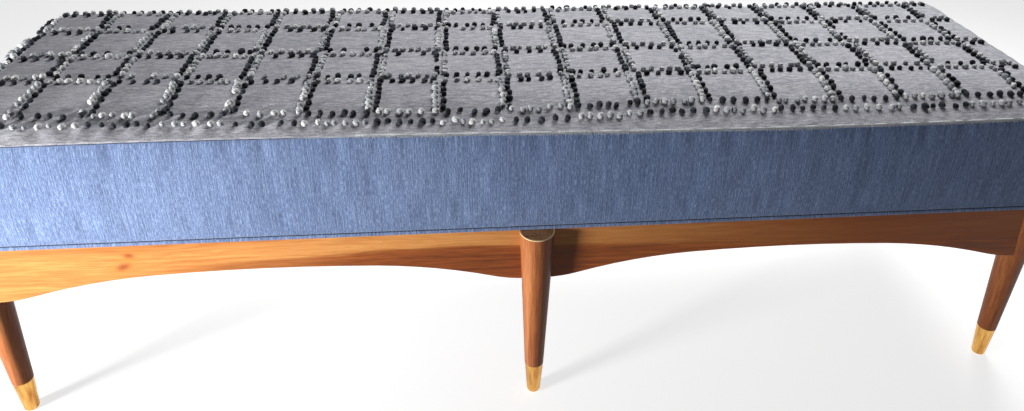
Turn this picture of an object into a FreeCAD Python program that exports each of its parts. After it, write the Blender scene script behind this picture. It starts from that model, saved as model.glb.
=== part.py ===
"""Long upholstered bench on six round tapered legs, in millimetres.

The origin is on the floor under the middle of the bench. X runs along its length, Y from front to
back and Z up. The front is at -Y.
"""
import FreeCAD, Part

import math
import os

import Sketcher

PARTS_FOLDER = "parts"
SQUARE_HALF = math.sqrt(0.5)

# Driving sizes: name, value, meaning
SIZES = (
    ("seat_half_length", 760.0, "middle to seam line at the ends"),
    ("seat_half_depth", 215.0, "middle to seam line at the front and back"),
    ("seat_corner_radius", 14.0, "vertical corners of the seat"),
    ("boxing_height", 155.0, "lower edge of the fabric to the top seam"),
    ("boxing_bulge", 2.0, "how far the boxing swells at half height"),
    ("cloth_thickness", 3.0, "fabric with its backing"),
    ("crown_height", 22.0, "seam to the middle of the top"),
    ("crown_run", 84.0, "distance over which the top rounds down to the seam"),
    ("crown_power", 2.6, "fullness of the rounding"),
    ("welt_radius", 1.3, "cord in the top seam"),
    ("hem_height", 6.0, "turned strip along the lower edge"),
    ("soft_gap", 0.3, "room between soft pieces"),
    ("panel_thickness", 18.0, "plywood under the foam"),
    ("dust_cover_thickness", 1.2, "cloth under the plywood"),
    ("leg_height", 295.0, "floor to the tops of legs and aprons"),
    ("leg_top_radius", 24.0, "flat cut top of a leg"),
    ("leg_ankle_radius", 14.0, "leg where it meets its brass cup"),
    ("leg_inset_x", 24.0, "seam line at the end to the corner leg's axis"),
    ("leg_inset_y", 20.0, "seam line at the front to the corner leg's axis"),
    ("middle_leg_reach", 4.0, "middle leg's axis in front of the apron's face"),
    ("cup_height", 56.0, "brass cup"),
    ("cup_foot_radius", 10.2, "cup at its rounded lower edge"),
    ("cup_flat_radius", 6.6, "flat that stands on the floor"),
    ("cup_edge_height", 4.2, "height of the rounded lower edge"),
    ("cup_wall", 1.0, "brass wall"),
    ("cup_floor", 2.4, "brass under the wood"),
    ("fit_play", 0.15, "play between pieces that fit one in another"),
    ("apron_setback", 3.0, "seam line to the apron's outer face"),
    ("apron_thickness", 22.0, "board of the aprons"),
    ("apron_depth", 85.0, "apron's full height, at the legs"),
    ("arch_foot_run", 14.0, "leg axis to the start of the arch"),
    ("arch_bend_run", 60.0, "leg axis to the end of the first bend"),
    ("arch_bend_depth", 78.5, "apron's height at the first bend"),
    ("arch_spring_run", 220.0, "leg axis to the start of the flat crown"),
    ("arch_spring_depth", 51.5, "apron's height there"),
    ("arch_foot_bow", 1.6, "sag of the first bend"),
    ("arch_flank_bow", 4.4, "sag of the long flank"),
    ("arch_crown_bow", 4.0, "rise of the flat crown"),
    ("end_spring_run", 130.0, "end apron: leg axis to the flat crown"),
    ("end_spring_depth", 62.5, "end apron's height there"),
    ("end_flank_bow", 1.2, "end apron: sag of the flank"),
    ("end_crown_bow", 3.6, "end apron: rise of the flat crown"),
    ("rail_thickness", 24.0, "middle cross rail"),
    ("rail_height", 45.0, "middle cross rail"),
    ("block_side", 75.0, "corner block along either apron"),
    ("block_height", 52.0, "corner block"),
    ("bolt_radius", 3.0, "corner bolt"),
    ("bolt_drop", 30.0, "top of the leg to the bolt's axis"),
    ("bolt_tail", 3.0, "bolt beyond its nut"),
    ("nut_radius", 7.0, "across the corners of the nut, halved"),
    ("nut_height", 6.0, "nut"),
    ("screw_radius", 2.2, "all screws"),
    ("screw_head_radius", 4.4, "all screws"),
    ("screw_head_height", 2.4, "all screws"),
    ("leg_screw_bite", 13.0, "screw inside a middle leg"),
    ("leg_screw_first", 56.0, "top of the leg to its upper screw"),
    ("leg_screw_pitch", 18.0, "upper to lower screw"),
    ("seat_screw_bite", 13.0, "screw inside the seat panel"),
    ("seat_screw_along", 42.0, "leg axis to corner screw, along the bolt"),
    ("seat_screw_aside", 24.0, "corner screw to the side of the bolt"),
    ("rail_screw_place", 80.0, "middle to a screw of the cross rail"),
)

# Heights and places that several pieces share, as expressions of the sizes
SEAM = "(Sizes.leg_height + Sizes.boxing_height)"
PANEL_BOTTOM = "(Sizes.leg_height + Sizes.dust_cover_thickness)"
PANEL_TOP = "(Sizes.leg_height + Sizes.dust_cover_thickness + Sizes.panel_thickness)"
LINING_X = "(Sizes.seat_half_length - Sizes.cloth_thickness - Sizes.soft_gap)"
LINING_Y = "(Sizes.seat_half_depth - Sizes.cloth_thickness - Sizes.soft_gap)"
LINING_RADIUS = "(Sizes.seat_corner_radius - Sizes.cloth_thickness - Sizes.soft_gap)"
LEG_X = "(Sizes.seat_half_length - Sizes.leg_inset_x)"
LEG_Y = "(Sizes.seat_half_depth - Sizes.leg_inset_y)"
FACE_X = "(Sizes.seat_half_length - Sizes.apron_setback)"
FACE_Y = "(Sizes.seat_half_depth - Sizes.apron_setback)"
INNER_X = "(Sizes.seat_half_length - Sizes.apron_setback - Sizes.apron_thickness)"
INNER_Y = "(Sizes.seat_half_depth - Sizes.apron_setback - Sizes.apron_thickness)"
MIDDLE_LEG_Y = "(Sizes.seat_half_depth - Sizes.apron_setback + Sizes.middle_leg_reach)"
SHAFT = "(Sizes.leg_height - Sizes.cup_height)"
TAPER = "((Sizes.leg_top_radius - Sizes.leg_ankle_radius) / (Sizes.leg_height - Sizes.cup_height))"
BLOCK_FACE = (
    f"(({LEG_X} - {INNER_X} + {LEG_Y} - {INNER_Y} + Sizes.block_side) * {SQUARE_HALF})"
)

CORNERS = {
    "front_left": (-1, -1),
    "front_right": (1, -1),
    "back_left": (-1, 1),
    "back_right": (1, 1),
}
SIDES = {"front": -1, "back": 1}
ENDS = {"left": -1, "right": 1}

doc = FreeCAD.newDocument("Bench")
pieces = {}


def make_sheet():
    """Keeps the driving sizes in a spreadsheet, one named cell each.

    Returns:
        The spreadsheet object.
    """
    table = doc.addObject("Spreadsheet::Sheet", "Sizes")
    for row, (name, number, meaning) in enumerate(SIZES, start=1):
        table.set(f"A{row}", name)
        table.set(f"B{row}", f"{number:g}")
        table.set(f"C{row}", meaning)
        table.setAlias(f"B{row}", name)
    doc.recompute()
    return table


sheet = make_sheet()
gauge = doc.addObject("App::FeaturePython", "Gauge")


def number(expression):
    """Works out an expression of the sheet's sizes.

    Args:
        expression: Text such as "Sizes.leg_height - 5", or a number.

    Returns:
        Its value as a float.
    """
    return float(gauge.evalExpression(str(expression)))


def bind(item, **expressions):
    """Binds properties of an object to expressions of the sizes.

    Args:
        item: The document object.
        **expressions: Property name and expression.

    Returns:
        The same object.
    """
    for name, expression in expressions.items():
        item.setExpression(name, str(expression))
    return item


def place(item, across="0", along="0", up="0", turn=None):
    """Places an object at expressions of the sizes.

    Args:
        item: The document object.
        across: X of its origin.
        along: Y of its origin.
        up: Z of its origin.
        turn: A FreeCAD.Rotation, or None for no turn.

    Returns:
        The same object.
    """
    if turn is not None:
        item.Placement = FreeCAD.Placement(FreeCAD.Vector(), turn)
    item.setExpression("Placement.Base.x", str(across))
    item.setExpression("Placement.Base.y", str(along))
    item.setExpression("Placement.Base.z", str(up))
    return item


def keep(item, label):
    """Names a finished piece, so that it is written out.

    Args:
        item: The document object.
        label: The piece's name.

    Returns:
        The same object.
    """
    item.Label = label
    pieces[label] = item
    return item


def origin_plane(body, role):
    """Finds one of a body's own origin planes.

    Args:
        body: The PartDesign body.
        role: "XY_Plane", "XZ_Plane" or "YZ_Plane".

    Returns:
        The plane object.
    """
    return next(item for item in body.Origin.OriginFeatures if item.Role == role)


def bowed_edge(start, end, bow):
    """Makes the arc between two corners of an outline.

    Args:
        start: The corner where the edge begins.
        end: The corner where it ends.
        bow: Signed sagitta; above zero the arc swells to the left of the way from start to end.

    Returns:
        The arc, and whether it runs from start to end rather than back.
    """
    chord = end - start
    left = FreeCAD.Vector(-chord.y, chord.x, 0).normalize()
    radius = chord.Length ** 2 / (8 * abs(bow)) + abs(bow) / 2
    way = 1 if bow > 0 else -1
    centre = (start + end) * 0.5 - left * way * (radius - abs(bow))
    first, last = (end, start) if bow > 0 else (start, end)
    angles = [math.atan2(spot.y - centre.y, spot.x - centre.x) for spot in (first, last)]
    circle = Part.Circle(centre, FreeCAD.Vector(0, 0, 1), radius)
    return Part.ArcOfCircle(circle, angles[0], angles[1]), bow < 0


def outline(body, name, plane, corners, bows=None, sketch=None):
    """Draws a closed outline of lines and arcs with every corner held by its expressions.

    Args:
        body: The body that owns the sketch.
        name: The sketch's name.
        plane: Role of the origin plane that carries it.
        corners: (across, up) expressions, in order and anticlockwise.
        bows: Edge index and sagitta expression; a positive bow swells into the outline.
        sketch: A sketch to add to, or None for a new one.

    Returns:
        The sketch.
    """
    bows = bows or {}
    if sketch is None:
        sketch = body.newObject("Sketcher::SketchObject", name)
        sketch.AttachmentSupport = [(origin_plane(body, plane), "")]
        sketch.MapMode = "FlatFace"
    points = [FreeCAD.Vector(number(x), number(y), 0) for x, y in corners]
    first = sketch.GeometryCount
    count = len(points)
    heads = []
    for index, start in enumerate(points):
        end = points[(index + 1) % count]
        if index not in bows:
            sketch.addGeometry(Part.LineSegment(start, end), False)
            heads.append((1, 2))
            continue
        arc, forward = bowed_edge(start, end, number(bows[index]))
        sketch.addGeometry(arc, False)
        heads.append((1, 2) if forward else (2, 1))
    for index in range(count):
        after = (index + 1) % count
        sketch.addConstraint(
            Sketcher.Constraint(
                "Coincident", first + index, heads[index][1], first + after, heads[after][0]
            )
        )
    for index, (across, up) in enumerate(corners):
        carrier = index if heads[index][0] == 1 else (index - 1) % count
        hold_corner(sketch, first + carrier, heads[carrier], carrier == index, across, up)
    for index, bow in bows.items():
        x0, y0 = corners[index]
        x1, y1 = corners[(index + 1) % count]
        square = f"(({x1} - ({x0})) * ({x1} - ({x0})) + ({y1} - ({y0})) * ({y1} - ({y0})))"
        radius = f"({square} / (8 * abs({bow})) + abs({bow}) / 2)"
        held = sketch.addConstraint(
            Sketcher.Constraint("Radius", first + index, number(radius))
        )
        sketch.setExpression(f"Constraints[{held}]", radius)
    return sketch


def hold_corner(sketch, edge, head, at_start, across, up):
    """Holds one corner of an outline at its expressions.

    Args:
        sketch: The sketch.
        edge: Index of an edge that meets the corner.
        head: That edge's (first, last) point numbers, in the outline's order.
        at_start: Whether the corner is where the edge begins.
        across: The corner's first coordinate.
        up: The corner's second coordinate.
    """
    point = head[0] if at_start else head[1]
    for kind, axis, expression in (("DistanceX", -2, across), ("DistanceY", -1, up)):
        distance = number(expression)
        if abs(distance) < 1e-9:
            sketch.addConstraint(Sketcher.Constraint("PointOnObject", edge, point, axis))
            continue
        index = sketch.addConstraint(
            Sketcher.Constraint(kind, -1, 1, edge, point, distance)
        )
        sketch.setExpression(f"Constraints[{index}]", str(expression))


def rounded(half_x, half_y, radius):
    """Gives the corners and bows of a rounded rectangle.

    Args:
        half_x: Half its length.
        half_y: Half its width.
        radius: Its corner radius.

    Returns:
        The corners and the bows, as outline takes them.
    """
    short_x = f"({half_x} - {radius})"
    short_y = f"({half_y} - {radius})"
    corners = [
        (f"-{short_x}", f"-{half_y}"),
        (short_x, f"-{half_y}"),
        (half_x, f"-{short_y}"),
        (half_x, short_y),
        (short_x, half_y),
        (f"-{short_x}", half_y),
        (f"-{half_x}", short_y),
        (f"-{half_x}", f"-{short_y}"),
    ]
    bow = f"(-(1 - {SQUARE_HALF}) * {radius})"
    return corners, {1: bow, 3: bow, 5: bow, 7: bow}


def pad(body, sketch, height, both_ways=False):
    """Pads a sketch.

    Args:
        body: The body.
        sketch: Its profile.
        height: The pad's length.
        both_ways: Whether the pad lies evenly on either side of the sketch.

    Returns:
        The pad.
    """
    feature = body.newObject("PartDesign::Pad", f"{body.Name}_pad")
    feature.Profile = sketch
    feature.SideType = "Symmetric" if both_ways else "One side"
    bind(feature, Length=height)
    sketch.Visibility = False
    return feature


def spin(body, sketch):
    """Turns a sketch once round the Z axis.

    Args:
        body: The body.
        sketch: Its half profile, in the XZ plane.

    Returns:
        The revolution.
    """
    feature = body.newObject("PartDesign::Revolution", f"{body.Name}_turned")
    feature.Profile = sketch
    feature.ReferenceAxis = (sketch, ["V_Axis"])
    feature.Angle = 360
    sketch.Visibility = False
    return feature


def cylinder(name, radius, height):
    """Makes a cylinder, mostly for a hole.

    Args:
        name: The object's name.
        radius: Its radius.
        height: Its height.

    Returns:
        The cylinder.
    """
    return bind(doc.addObject("Part::Cylinder", name), Radius=radius, Height=height)


def box(name, length, width, height):
    """Makes a box.

    Args:
        name: The object's name.
        length: Its size along X.
        width: Its size along Y.
        height: Its size along Z.

    Returns:
        The box.
    """
    item = doc.addObject("Part::Box", name)
    return bind(item, Length=length, Width=width, Height=height)


def cut(label, base, tools):
    """Cuts tools from a base and keeps the result as a piece.

    Args:
        label: The piece's name.
        base: The solid to cut.
        tools: The solids to take away.

    Returns:
        The cut piece.
    """
    doc.recompute()
    before = base.Shape.Volume
    tool = tools[0]
    if len(tools) > 1:
        tool = doc.addObject("Part::MultiFuse", f"{label}_tools")
        tool.Shapes = tools
    result = doc.addObject("Part::Cut", f"{label}_cut")
    result.Base = base
    result.Tool = tool
    doc.recompute()
    if not result.Shape.Volume < before - 1e-6:
        raise RuntimeError(f"{label}: the cut takes nothing away")
    return keep(result, label)


def leg_scoop(name, sign_x, sign_y):
    """Makes the room that a corner leg takes, with its play.

    Args:
        name: The object's name.
        sign_x: -1 on the left, 1 on the right.
        sign_y: -1 at the front, 1 at the back.

    Returns:
        A cone from under the apron to above the leg's top.
    """
    margin = 10
    reach = f"(Sizes.apron_depth + {margin})"
    cone = bind(
        doc.addObject("Part::Cone", name),
        Radius1=f"Sizes.leg_top_radius + Sizes.fit_play - {TAPER} * {reach}",
        Radius2=f"Sizes.leg_top_radius + Sizes.fit_play + {TAPER} * {margin}",
        Height=f"{reach} + {margin}",
    )
    up = f"Sizes.leg_height - {reach}"
    return place(cone, f"{sign_x} * {LEG_X}", f"{sign_y} * {LEG_Y}", up)


def bolt_frame(sign_x, sign_y, along, aside="0"):
    """Finds a place on or beside a corner bolt's line.

    Args:
        sign_x: -1 on the left, 1 on the right.
        sign_y: -1 at the front, 1 at the back.
        along: Distance from the leg's axis towards the middle of the bench.
        aside: Distance to the side of that line.

    Returns:
        The X and Y expressions.
    """
    across = f"{sign_x} * ({LEG_X} - ({along} - {aside}) * {SQUARE_HALF})"
    back = f"{sign_y} * ({LEG_Y} - ({along} + {aside}) * {SQUARE_HALF})"
    return across, back


def inward_turn(sign_x, sign_y):
    """Turns +Z to the level diagonal from a corner leg into the bench.

    Args:
        sign_x: -1 on the left, 1 on the right.
        sign_y: -1 at the front, 1 at the back.

    Returns:
        The rotation.
    """
    return FreeCAD.Rotation(FreeCAD.Vector(0, 0, 1), FreeCAD.Vector(-sign_x, -sign_y, 0))


def screw(label, length, across, along, up, turn=None):
    """Makes a screw with a flat round head, pointing along its own +Z.

    Args:
        label: The piece's name.
        length: Shank under the head.
        across: X of the underside of its head.
        along: Y of the same point.
        up: Z of the same point.
        turn: A rotation, or None for a screw that points up.

    Returns:
        The screw.
    """
    body = doc.addObject("PartDesign::Body", f"{label}_body")
    corners = [
        ("0", "-Sizes.screw_head_height"),
        ("Sizes.screw_head_radius", "-Sizes.screw_head_height"),
        ("Sizes.screw_head_radius", "0"),
        ("Sizes.screw_radius", "0"),
        ("Sizes.screw_radius", length),
        ("0", length),
    ]
    spin(body, outline(body, f"{label}_profile", "XZ_Plane", corners))
    return keep(place(body, across, along, up, turn), label)


def apron_corners(span, spring_run, spring_depth):
    """Gives the lower edge of an apron between two leg axes, from -X to +X.

    Args:
        span: (start, end) of the span along the board.
        spring_run: Leg axis to the arch's flat crown.
        spring_depth: The apron's height there.

    Returns:
        The corners along the lower edge.
    """
    start, end = span
    low = "(Sizes.leg_height - Sizes.apron_depth)"
    bend = "(Sizes.leg_height - Sizes.arch_bend_depth)"
    spring = f"(Sizes.leg_height - {spring_depth})"
    return [
        (f"({start} + Sizes.arch_foot_run)", low),
        (f"({start} + Sizes.arch_bend_run)", bend),
        (f"({start} + {spring_run})", spring),
        (f"({end} - {spring_run})", spring),
        (f"({end} - Sizes.arch_bend_run)", bend),
        (f"({end} - Sizes.arch_foot_run)", low),
    ]


def arch_bows(first, flank_bow, crown_bow):
    """Gives the bows of one arch whose corners start at an index.

    Args:
        first: Index of the arch's first corner.
        flank_bow: Sag of its flanks.
        crown_bow: Rise of its crown.

    Returns:
        Edge index and bow.
    """
    return {
        first: "(-Sizes.arch_foot_bow)",
        first + 1: flank_bow,
        first + 2: crown_bow,
        first + 3: flank_bow,
        first + 4: "(-Sizes.arch_foot_bow)",
    }


def make_long_aprons():
    """Makes the front and back aprons, two arches each, scooped for the corner legs."""
    low = "(Sizes.leg_height - Sizes.apron_depth)"
    top = "Sizes.leg_height"
    for side, sign in SIDES.items():
        body = doc.addObject("PartDesign::Body", f"{side}_apron_board")
        left = (f"(-{LEG_X})", "0")
        right = ("0", LEG_X)
        run = "Sizes.arch_spring_run"
        depth = "Sizes.arch_spring_depth"
        corners = [(f"(-{LEG_X})", low)]
        corners += apron_corners(left, run, depth)
        corners += apron_corners(right, run, depth)
        corners += [(LEG_X, low), (LEG_X, top), (f"(-{LEG_X})", top)]
        bows = arch_bows(1, "Sizes.arch_flank_bow", "Sizes.arch_crown_bow")
        bows.update(arch_bows(7, "Sizes.arch_flank_bow", "Sizes.arch_crown_bow"))
        sketch = outline(body, f"{side}_apron_outline", "XZ_Plane", corners, bows)
        pad(body, sketch, "Sizes.apron_thickness", both_ways=True)
        place(body, "0", f"{sign} * ({FACE_Y} - Sizes.apron_thickness / 2)")
        tools = [leg_scoop(f"{side}_{end}_scoop", way, sign) for end, way in ENDS.items()]
        tools += leg_screw_holes(f"{side}_apron", sign)
        cut(f"{side}_apron", body, tools)


def make_end_aprons():
    """Makes the left and right aprons, one arch each, between the corner legs."""
    low = "(Sizes.leg_height - Sizes.apron_depth)"
    top = "Sizes.leg_height"
    for end, sign in ENDS.items():
        body = doc.addObject("PartDesign::Body", f"{end}_end_board")
        corners = [(f"(-{LEG_Y})", low)]
        span = (f"(-{LEG_Y})", LEG_Y)
        corners += apron_corners(span, "Sizes.end_spring_run", "Sizes.end_spring_depth")
        corners += [(LEG_Y, low), (LEG_Y, top), (f"(-{LEG_Y})", top)]
        bows = arch_bows(1, "Sizes.end_flank_bow", "Sizes.end_crown_bow")
        sketch = outline(body, f"{end}_end_outline", "YZ_Plane", corners, bows)
        pad(body, sketch, "Sizes.apron_thickness", both_ways=True)
        place(body, f"{sign} * ({FACE_X} - Sizes.apron_thickness / 2)")
        tools = [leg_scoop(f"{end}_{side}_scoop", sign, way) for side, way in SIDES.items()]
        cut(f"{end}_end_apron", body, tools)


def make_leg_body(name, across, along):
    """Turns one tapered leg with the spigot that its brass cup takes.

    Args:
        name: The body's name.
        across: X of its axis.
        along: Y of its axis.

    Returns:
        The body, with its foot at the floor's height.
    """
    body = doc.addObject("PartDesign::Body", name)
    inset = "(Sizes.cup_wall + Sizes.fit_play)"
    seat = "(Sizes.cup_floor + Sizes.fit_play)"
    corners = [
        ("0", seat),
        (f"(Sizes.cup_foot_radius - {inset})", seat),
        (f"(Sizes.leg_ankle_radius - {inset})", "Sizes.cup_height"),
        ("Sizes.leg_ankle_radius", "Sizes.cup_height"),
        ("Sizes.leg_top_radius", "Sizes.leg_height"),
        ("0", "Sizes.leg_height"),
    ]
    spin(body, outline(body, f"{name}_profile", "XZ_Plane", corners))
    return place(body, across, along)


def make_cup(label, across, along):
    """Turns one brass cup: a tapered shell with a rounded lower edge and a flat foot.

    Args:
        label: The piece's name.
        across: X of its axis.
        along: Y of its axis.
    """
    body = doc.addObject("PartDesign::Body", f"{label}_body")
    wall = "Sizes.cup_wall"
    corners = [
        ("0", "0"),
        ("Sizes.cup_flat_radius", "0"),
        ("Sizes.cup_foot_radius", "Sizes.cup_edge_height"),
        ("Sizes.leg_ankle_radius", "Sizes.cup_height"),
        (f"(Sizes.leg_ankle_radius - {wall})", "Sizes.cup_height"),
        (f"(Sizes.cup_foot_radius - {wall})", "Sizes.cup_floor"),
        ("0", "Sizes.cup_floor"),
    ]
    edge_bow = f"(-(Sizes.cup_foot_radius - Sizes.cup_flat_radius) * {1 - SQUARE_HALF:.4f})"
    spin(body, outline(body, f"{label}_profile", "XZ_Plane", corners, {1: edge_bow}))
    keep(place(body, across, along), label)


def leg_screw_holes(name, sign):
    """Makes the holes for the two screws that hold a middle leg.

    Args:
        name: First words of the holes' names.
        sign: -1 at the front, 1 at the back.

    Returns:
        Two cylinders from inside the apron into the leg.
    """
    length = "(Sizes.apron_thickness + Sizes.leg_screw_bite)"
    turn = FreeCAD.Rotation(FreeCAD.Vector(0, 0, 1), FreeCAD.Vector(0, sign, 0))
    holes = []
    for index in range(2):
        up = f"Sizes.leg_height - Sizes.leg_screw_first - {index} * Sizes.leg_screw_pitch"
        hole = cylinder(f"{name}_hole{index}", "Sizes.screw_radius + Sizes.fit_play", length)
        holes.append(place(hole, "0", f"{sign} * {INNER_Y}", up, turn))
    return holes


def make_corner(name, sign_x, sign_y):
    """Makes one corner: its leg, cup, block, bolt, nut and seat screw.

    Args:
        name: First words of the pieces' names.
        sign_x: -1 on the left, 1 on the right.
        sign_y: -1 at the front, 1 at the back.
    """
    leg_x = f"{sign_x} * {LEG_X}"
    leg_y = f"{sign_y} * {LEG_Y}"
    bolt_up = "Sizes.leg_height - Sizes.bolt_drop"
    turn = inward_turn(sign_x, sign_y)
    reach = f"({BLOCK_FACE} + Sizes.nut_height + Sizes.bolt_tail)"
    hole_radius = "Sizes.bolt_radius + Sizes.fit_play"

    leg = make_leg_body(f"{name}_leg_body", leg_x, leg_y)
    leg_hole = place(cylinder(f"{name}_leg_hole", hole_radius, reach), leg_x, leg_y, bolt_up, turn)
    cut(f"{name}_leg", leg, [leg_hole])
    make_cup(f"{name}_ferrule", leg_x, leg_y)

    block = doc.addObject("PartDesign::Body", f"{name}_block_body")
    corner = (f"({sign_x} * {INNER_X})", f"({sign_y} * {INNER_Y})")
    beside = (f"({sign_x} * ({INNER_X} - Sizes.block_side))", corner[1])
    behind = (corner[0], f"({sign_y} * ({INNER_Y} - Sizes.block_side))")
    loop = [corner, behind, beside] if sign_x * sign_y < 0 else [corner, beside, behind]
    pad(block, outline(block, f"{name}_block_plan", "XY_Plane", loop), "Sizes.block_height")
    place(block, up="Sizes.leg_height - Sizes.block_height")
    screw_spot = bolt_frame(sign_x, sign_y, "Sizes.seat_screw_along", "Sizes.seat_screw_aside")
    base = "Sizes.leg_height - Sizes.block_height"
    screw_hole = cylinder(
        f"{name}_block_screw_hole", "Sizes.screw_radius + Sizes.fit_play", "Sizes.block_height"
    )
    bolt_hole = cylinder(f"{name}_block_bolt_hole", hole_radius, reach)
    tools = [
        leg_scoop(f"{name}_block_scoop", sign_x, sign_y),
        place(bolt_hole, leg_x, leg_y, bolt_up, turn),
        place(screw_hole, *screw_spot, base),
    ]
    cut(f"{name}_corner_block", block, tools)

    bolt = cylinder(f"{name}_bolt_rod", "Sizes.bolt_radius", reach)
    keep(place(bolt, leg_x, leg_y, bolt_up, turn), f"{name}_bolt")

    nut = doc.addObject("Part::Prism", f"{name}_nut_blank")
    nut.Polygon = 6
    bind(nut, Circumradius="Sizes.nut_radius", Height="Sizes.nut_height")
    nut_spot = bolt_frame(sign_x, sign_y, BLOCK_FACE)
    place(nut, *nut_spot, bolt_up, turn)
    bore = place(cylinder(f"{name}_nut_bore", hole_radius, reach), leg_x, leg_y, bolt_up, turn)
    cut(f"{name}_nut", nut, [bore])

    length = "(Sizes.block_height + Sizes.dust_cover_thickness + Sizes.seat_screw_bite)"
    screw(f"{name}_seat_screw", length, *screw_spot, base)


def make_middle_legs():
    """Makes the front and back middle legs, notched over the aprons, and their screws."""
    length = "(Sizes.apron_thickness + Sizes.leg_screw_bite - Sizes.fit_play)"
    for side, sign in SIDES.items():
        name = f"{side}_middle"
        along = f"{sign} * {MIDDLE_LEG_Y}"
        leg = make_leg_body(f"{name}_leg_body", "0", along)
        depth = "Sizes.leg_top_radius + Sizes.middle_leg_reach"
        notch = box(
            f"{name}_notch",
            "2 * Sizes.leg_top_radius + 4",
            depth,
            "Sizes.apron_depth + 4",
        )
        front = f"{sign} * {FACE_Y}" if sign < 0 else f"{FACE_Y} - ({depth})"
        place(notch, "-Sizes.leg_top_radius - 2", front, "Sizes.leg_height - Sizes.apron_depth")
        cut(f"{name}_leg", leg, [notch] + leg_screw_holes(name, sign))
        make_cup(f"{name}_ferrule", "0", along)
        turn = FreeCAD.Rotation(FreeCAD.Vector(0, 0, 1), FreeCAD.Vector(0, sign, 0))
        for index, place_name in enumerate(("upper", "lower")):
            up = f"Sizes.leg_height - Sizes.leg_screw_first - {index} * Sizes.leg_screw_pitch"
            label = f"{name}_leg_screw_{place_name}"
            screw(label, length, "0", f"{sign} * {INNER_Y}", up, turn)


def seat_screw_spots():
    """Lists the six places where a screw goes up into the seat panel.

    Returns:
        (name, X, Y) of each.
    """
    spots = []
    for name, (sign_x, sign_y) in CORNERS.items():
        across, along = bolt_frame(
            sign_x, sign_y, "Sizes.seat_screw_along", "Sizes.seat_screw_aside"
        )
        spots.append((name, across, along))
    for side, sign in SIDES.items():
        spots.append((f"{side}_rail", "0", f"{sign} * Sizes.rail_screw_place"))
    return spots


def seat_screw_tools(name, height):
    """Makes the six holes of the seat screws from the aprons' top upwards.

    Args:
        name: First words of the holes' names.
        height: How far they reach above the aprons' top.

    Returns:
        The six cylinders.
    """
    tools = []
    for spot, across, along in seat_screw_spots():
        hole = cylinder(f"{name}_{spot}_hole", "Sizes.screw_radius + Sizes.fit_play", height)
        tools.append(place(hole, across, along, "Sizes.leg_height"))
    return tools


def make_middle_rail():
    """Makes the cross rail between the long aprons, with its two seat screws."""
    rail = box(
        "middle_rail_bar",
        "Sizes.rail_thickness",
        f"2 * {INNER_Y}",
        "Sizes.rail_height",
    )
    base = "Sizes.leg_height - Sizes.rail_height"
    place(rail, "-Sizes.rail_thickness / 2", f"-{INNER_Y}", base)
    tools = []
    length = "(Sizes.rail_height + Sizes.dust_cover_thickness + Sizes.seat_screw_bite)"
    for side, sign in SIDES.items():
        along = f"{sign} * Sizes.rail_screw_place"
        hole = cylinder(
            f"middle_rail_{side}_hole", "Sizes.screw_radius + Sizes.fit_play", "Sizes.rail_height"
        )
        tools.append(place(hole, "0", along, base))
        screw(f"{side}_rail_seat_screw", length, "0", along, base)
    cut("middle_rail", rail, tools)


def make_board_and_foam():
    """Makes the dust cover, the plywood panel, the foam block and the hem strip."""
    lining = rounded(LINING_X, LINING_Y, LINING_RADIUS)

    cover = doc.addObject("PartDesign::Body", "dust_cover_body")
    sketch = outline(cover, "dust_cover_plan", "XY_Plane", *lining)
    pad(cover, sketch, "Sizes.dust_cover_thickness")
    place(cover, up="Sizes.leg_height")
    cut("dust_cover", cover, seat_screw_tools("dust_cover", "Sizes.dust_cover_thickness"))

    panel = doc.addObject("PartDesign::Body", "seat_panel_body")
    pad(panel, outline(panel, "seat_panel_plan", "XY_Plane", *lining), "Sizes.panel_thickness")
    place(panel, up=PANEL_BOTTOM)
    bite = "(Sizes.dust_cover_thickness + Sizes.seat_screw_bite + Sizes.fit_play)"
    cut("seat_panel", panel, seat_screw_tools("seat_panel", bite))

    foam = doc.addObject("PartDesign::Body", "foam_core_body")
    sketch = outline(foam, "foam_core_plan", "XY_Plane", *lining)
    pad(foam, sketch, f"{SEAM} - {PANEL_TOP}")
    keep(place(foam, up=PANEL_TOP), "foam_core")

    hem = doc.addObject("PartDesign::Body", "bottom_hem_body")
    outer = rounded("Sizes.seat_half_length", "Sizes.seat_half_depth", "Sizes.seat_corner_radius")
    sketch = outline(hem, "bottom_hem_plan", "XY_Plane", *outer)
    inner = rounded(
        "(Sizes.seat_half_length - Sizes.cloth_thickness)",
        "(Sizes.seat_half_depth - Sizes.cloth_thickness)",
        "(Sizes.seat_corner_radius - Sizes.cloth_thickness)",
    )
    outline(hem, "bottom_hem_plan", "XY_Plane", *inner, sketch=sketch)
    pad(hem, sketch, "Sizes.hem_height")
    keep(place(hem, up="Sizes.leg_height"), "bottom_hem")


def rounded_wire(half_x, half_y, radius, height):
    """Makes a level rounded rectangle of lines and quarter arcs.

    Args:
        half_x: Half its length.
        half_y: Half its width.
        radius: Its corner radius.
        height: Its Z.

    Returns:
        The closed wire.
    """
    short_x = half_x - radius
    short_y = half_y - radius
    slant = radius * SQUARE_HALF
    edges = []
    for sign_x, sign_y in ((1, 1), (-1, 1), (-1, -1), (1, -1)):
        on_end = FreeCAD.Vector(sign_x * half_x, sign_y * short_y, height)
        on_side = FreeCAD.Vector(sign_x * short_x, sign_y * half_y, height)
        middle = FreeCAD.Vector(
            sign_x * (short_x + slant), sign_y * (short_y + slant), height
        )
        first, last = (on_end, on_side) if sign_x * sign_y > 0 else (on_side, on_end)
        if edges:
            edges.append(Part.LineSegment(edges[-1].Vertexes[-1].Point, first).toShape())
        edges.append(Part.Arc(first, middle, last).toShape())
    closing = Part.LineSegment(edges[-1].Vertexes[-1].Point, edges[0].Vertexes[0].Point)
    edges.append(closing.toShape())
    return Part.Wire(edges)


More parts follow.
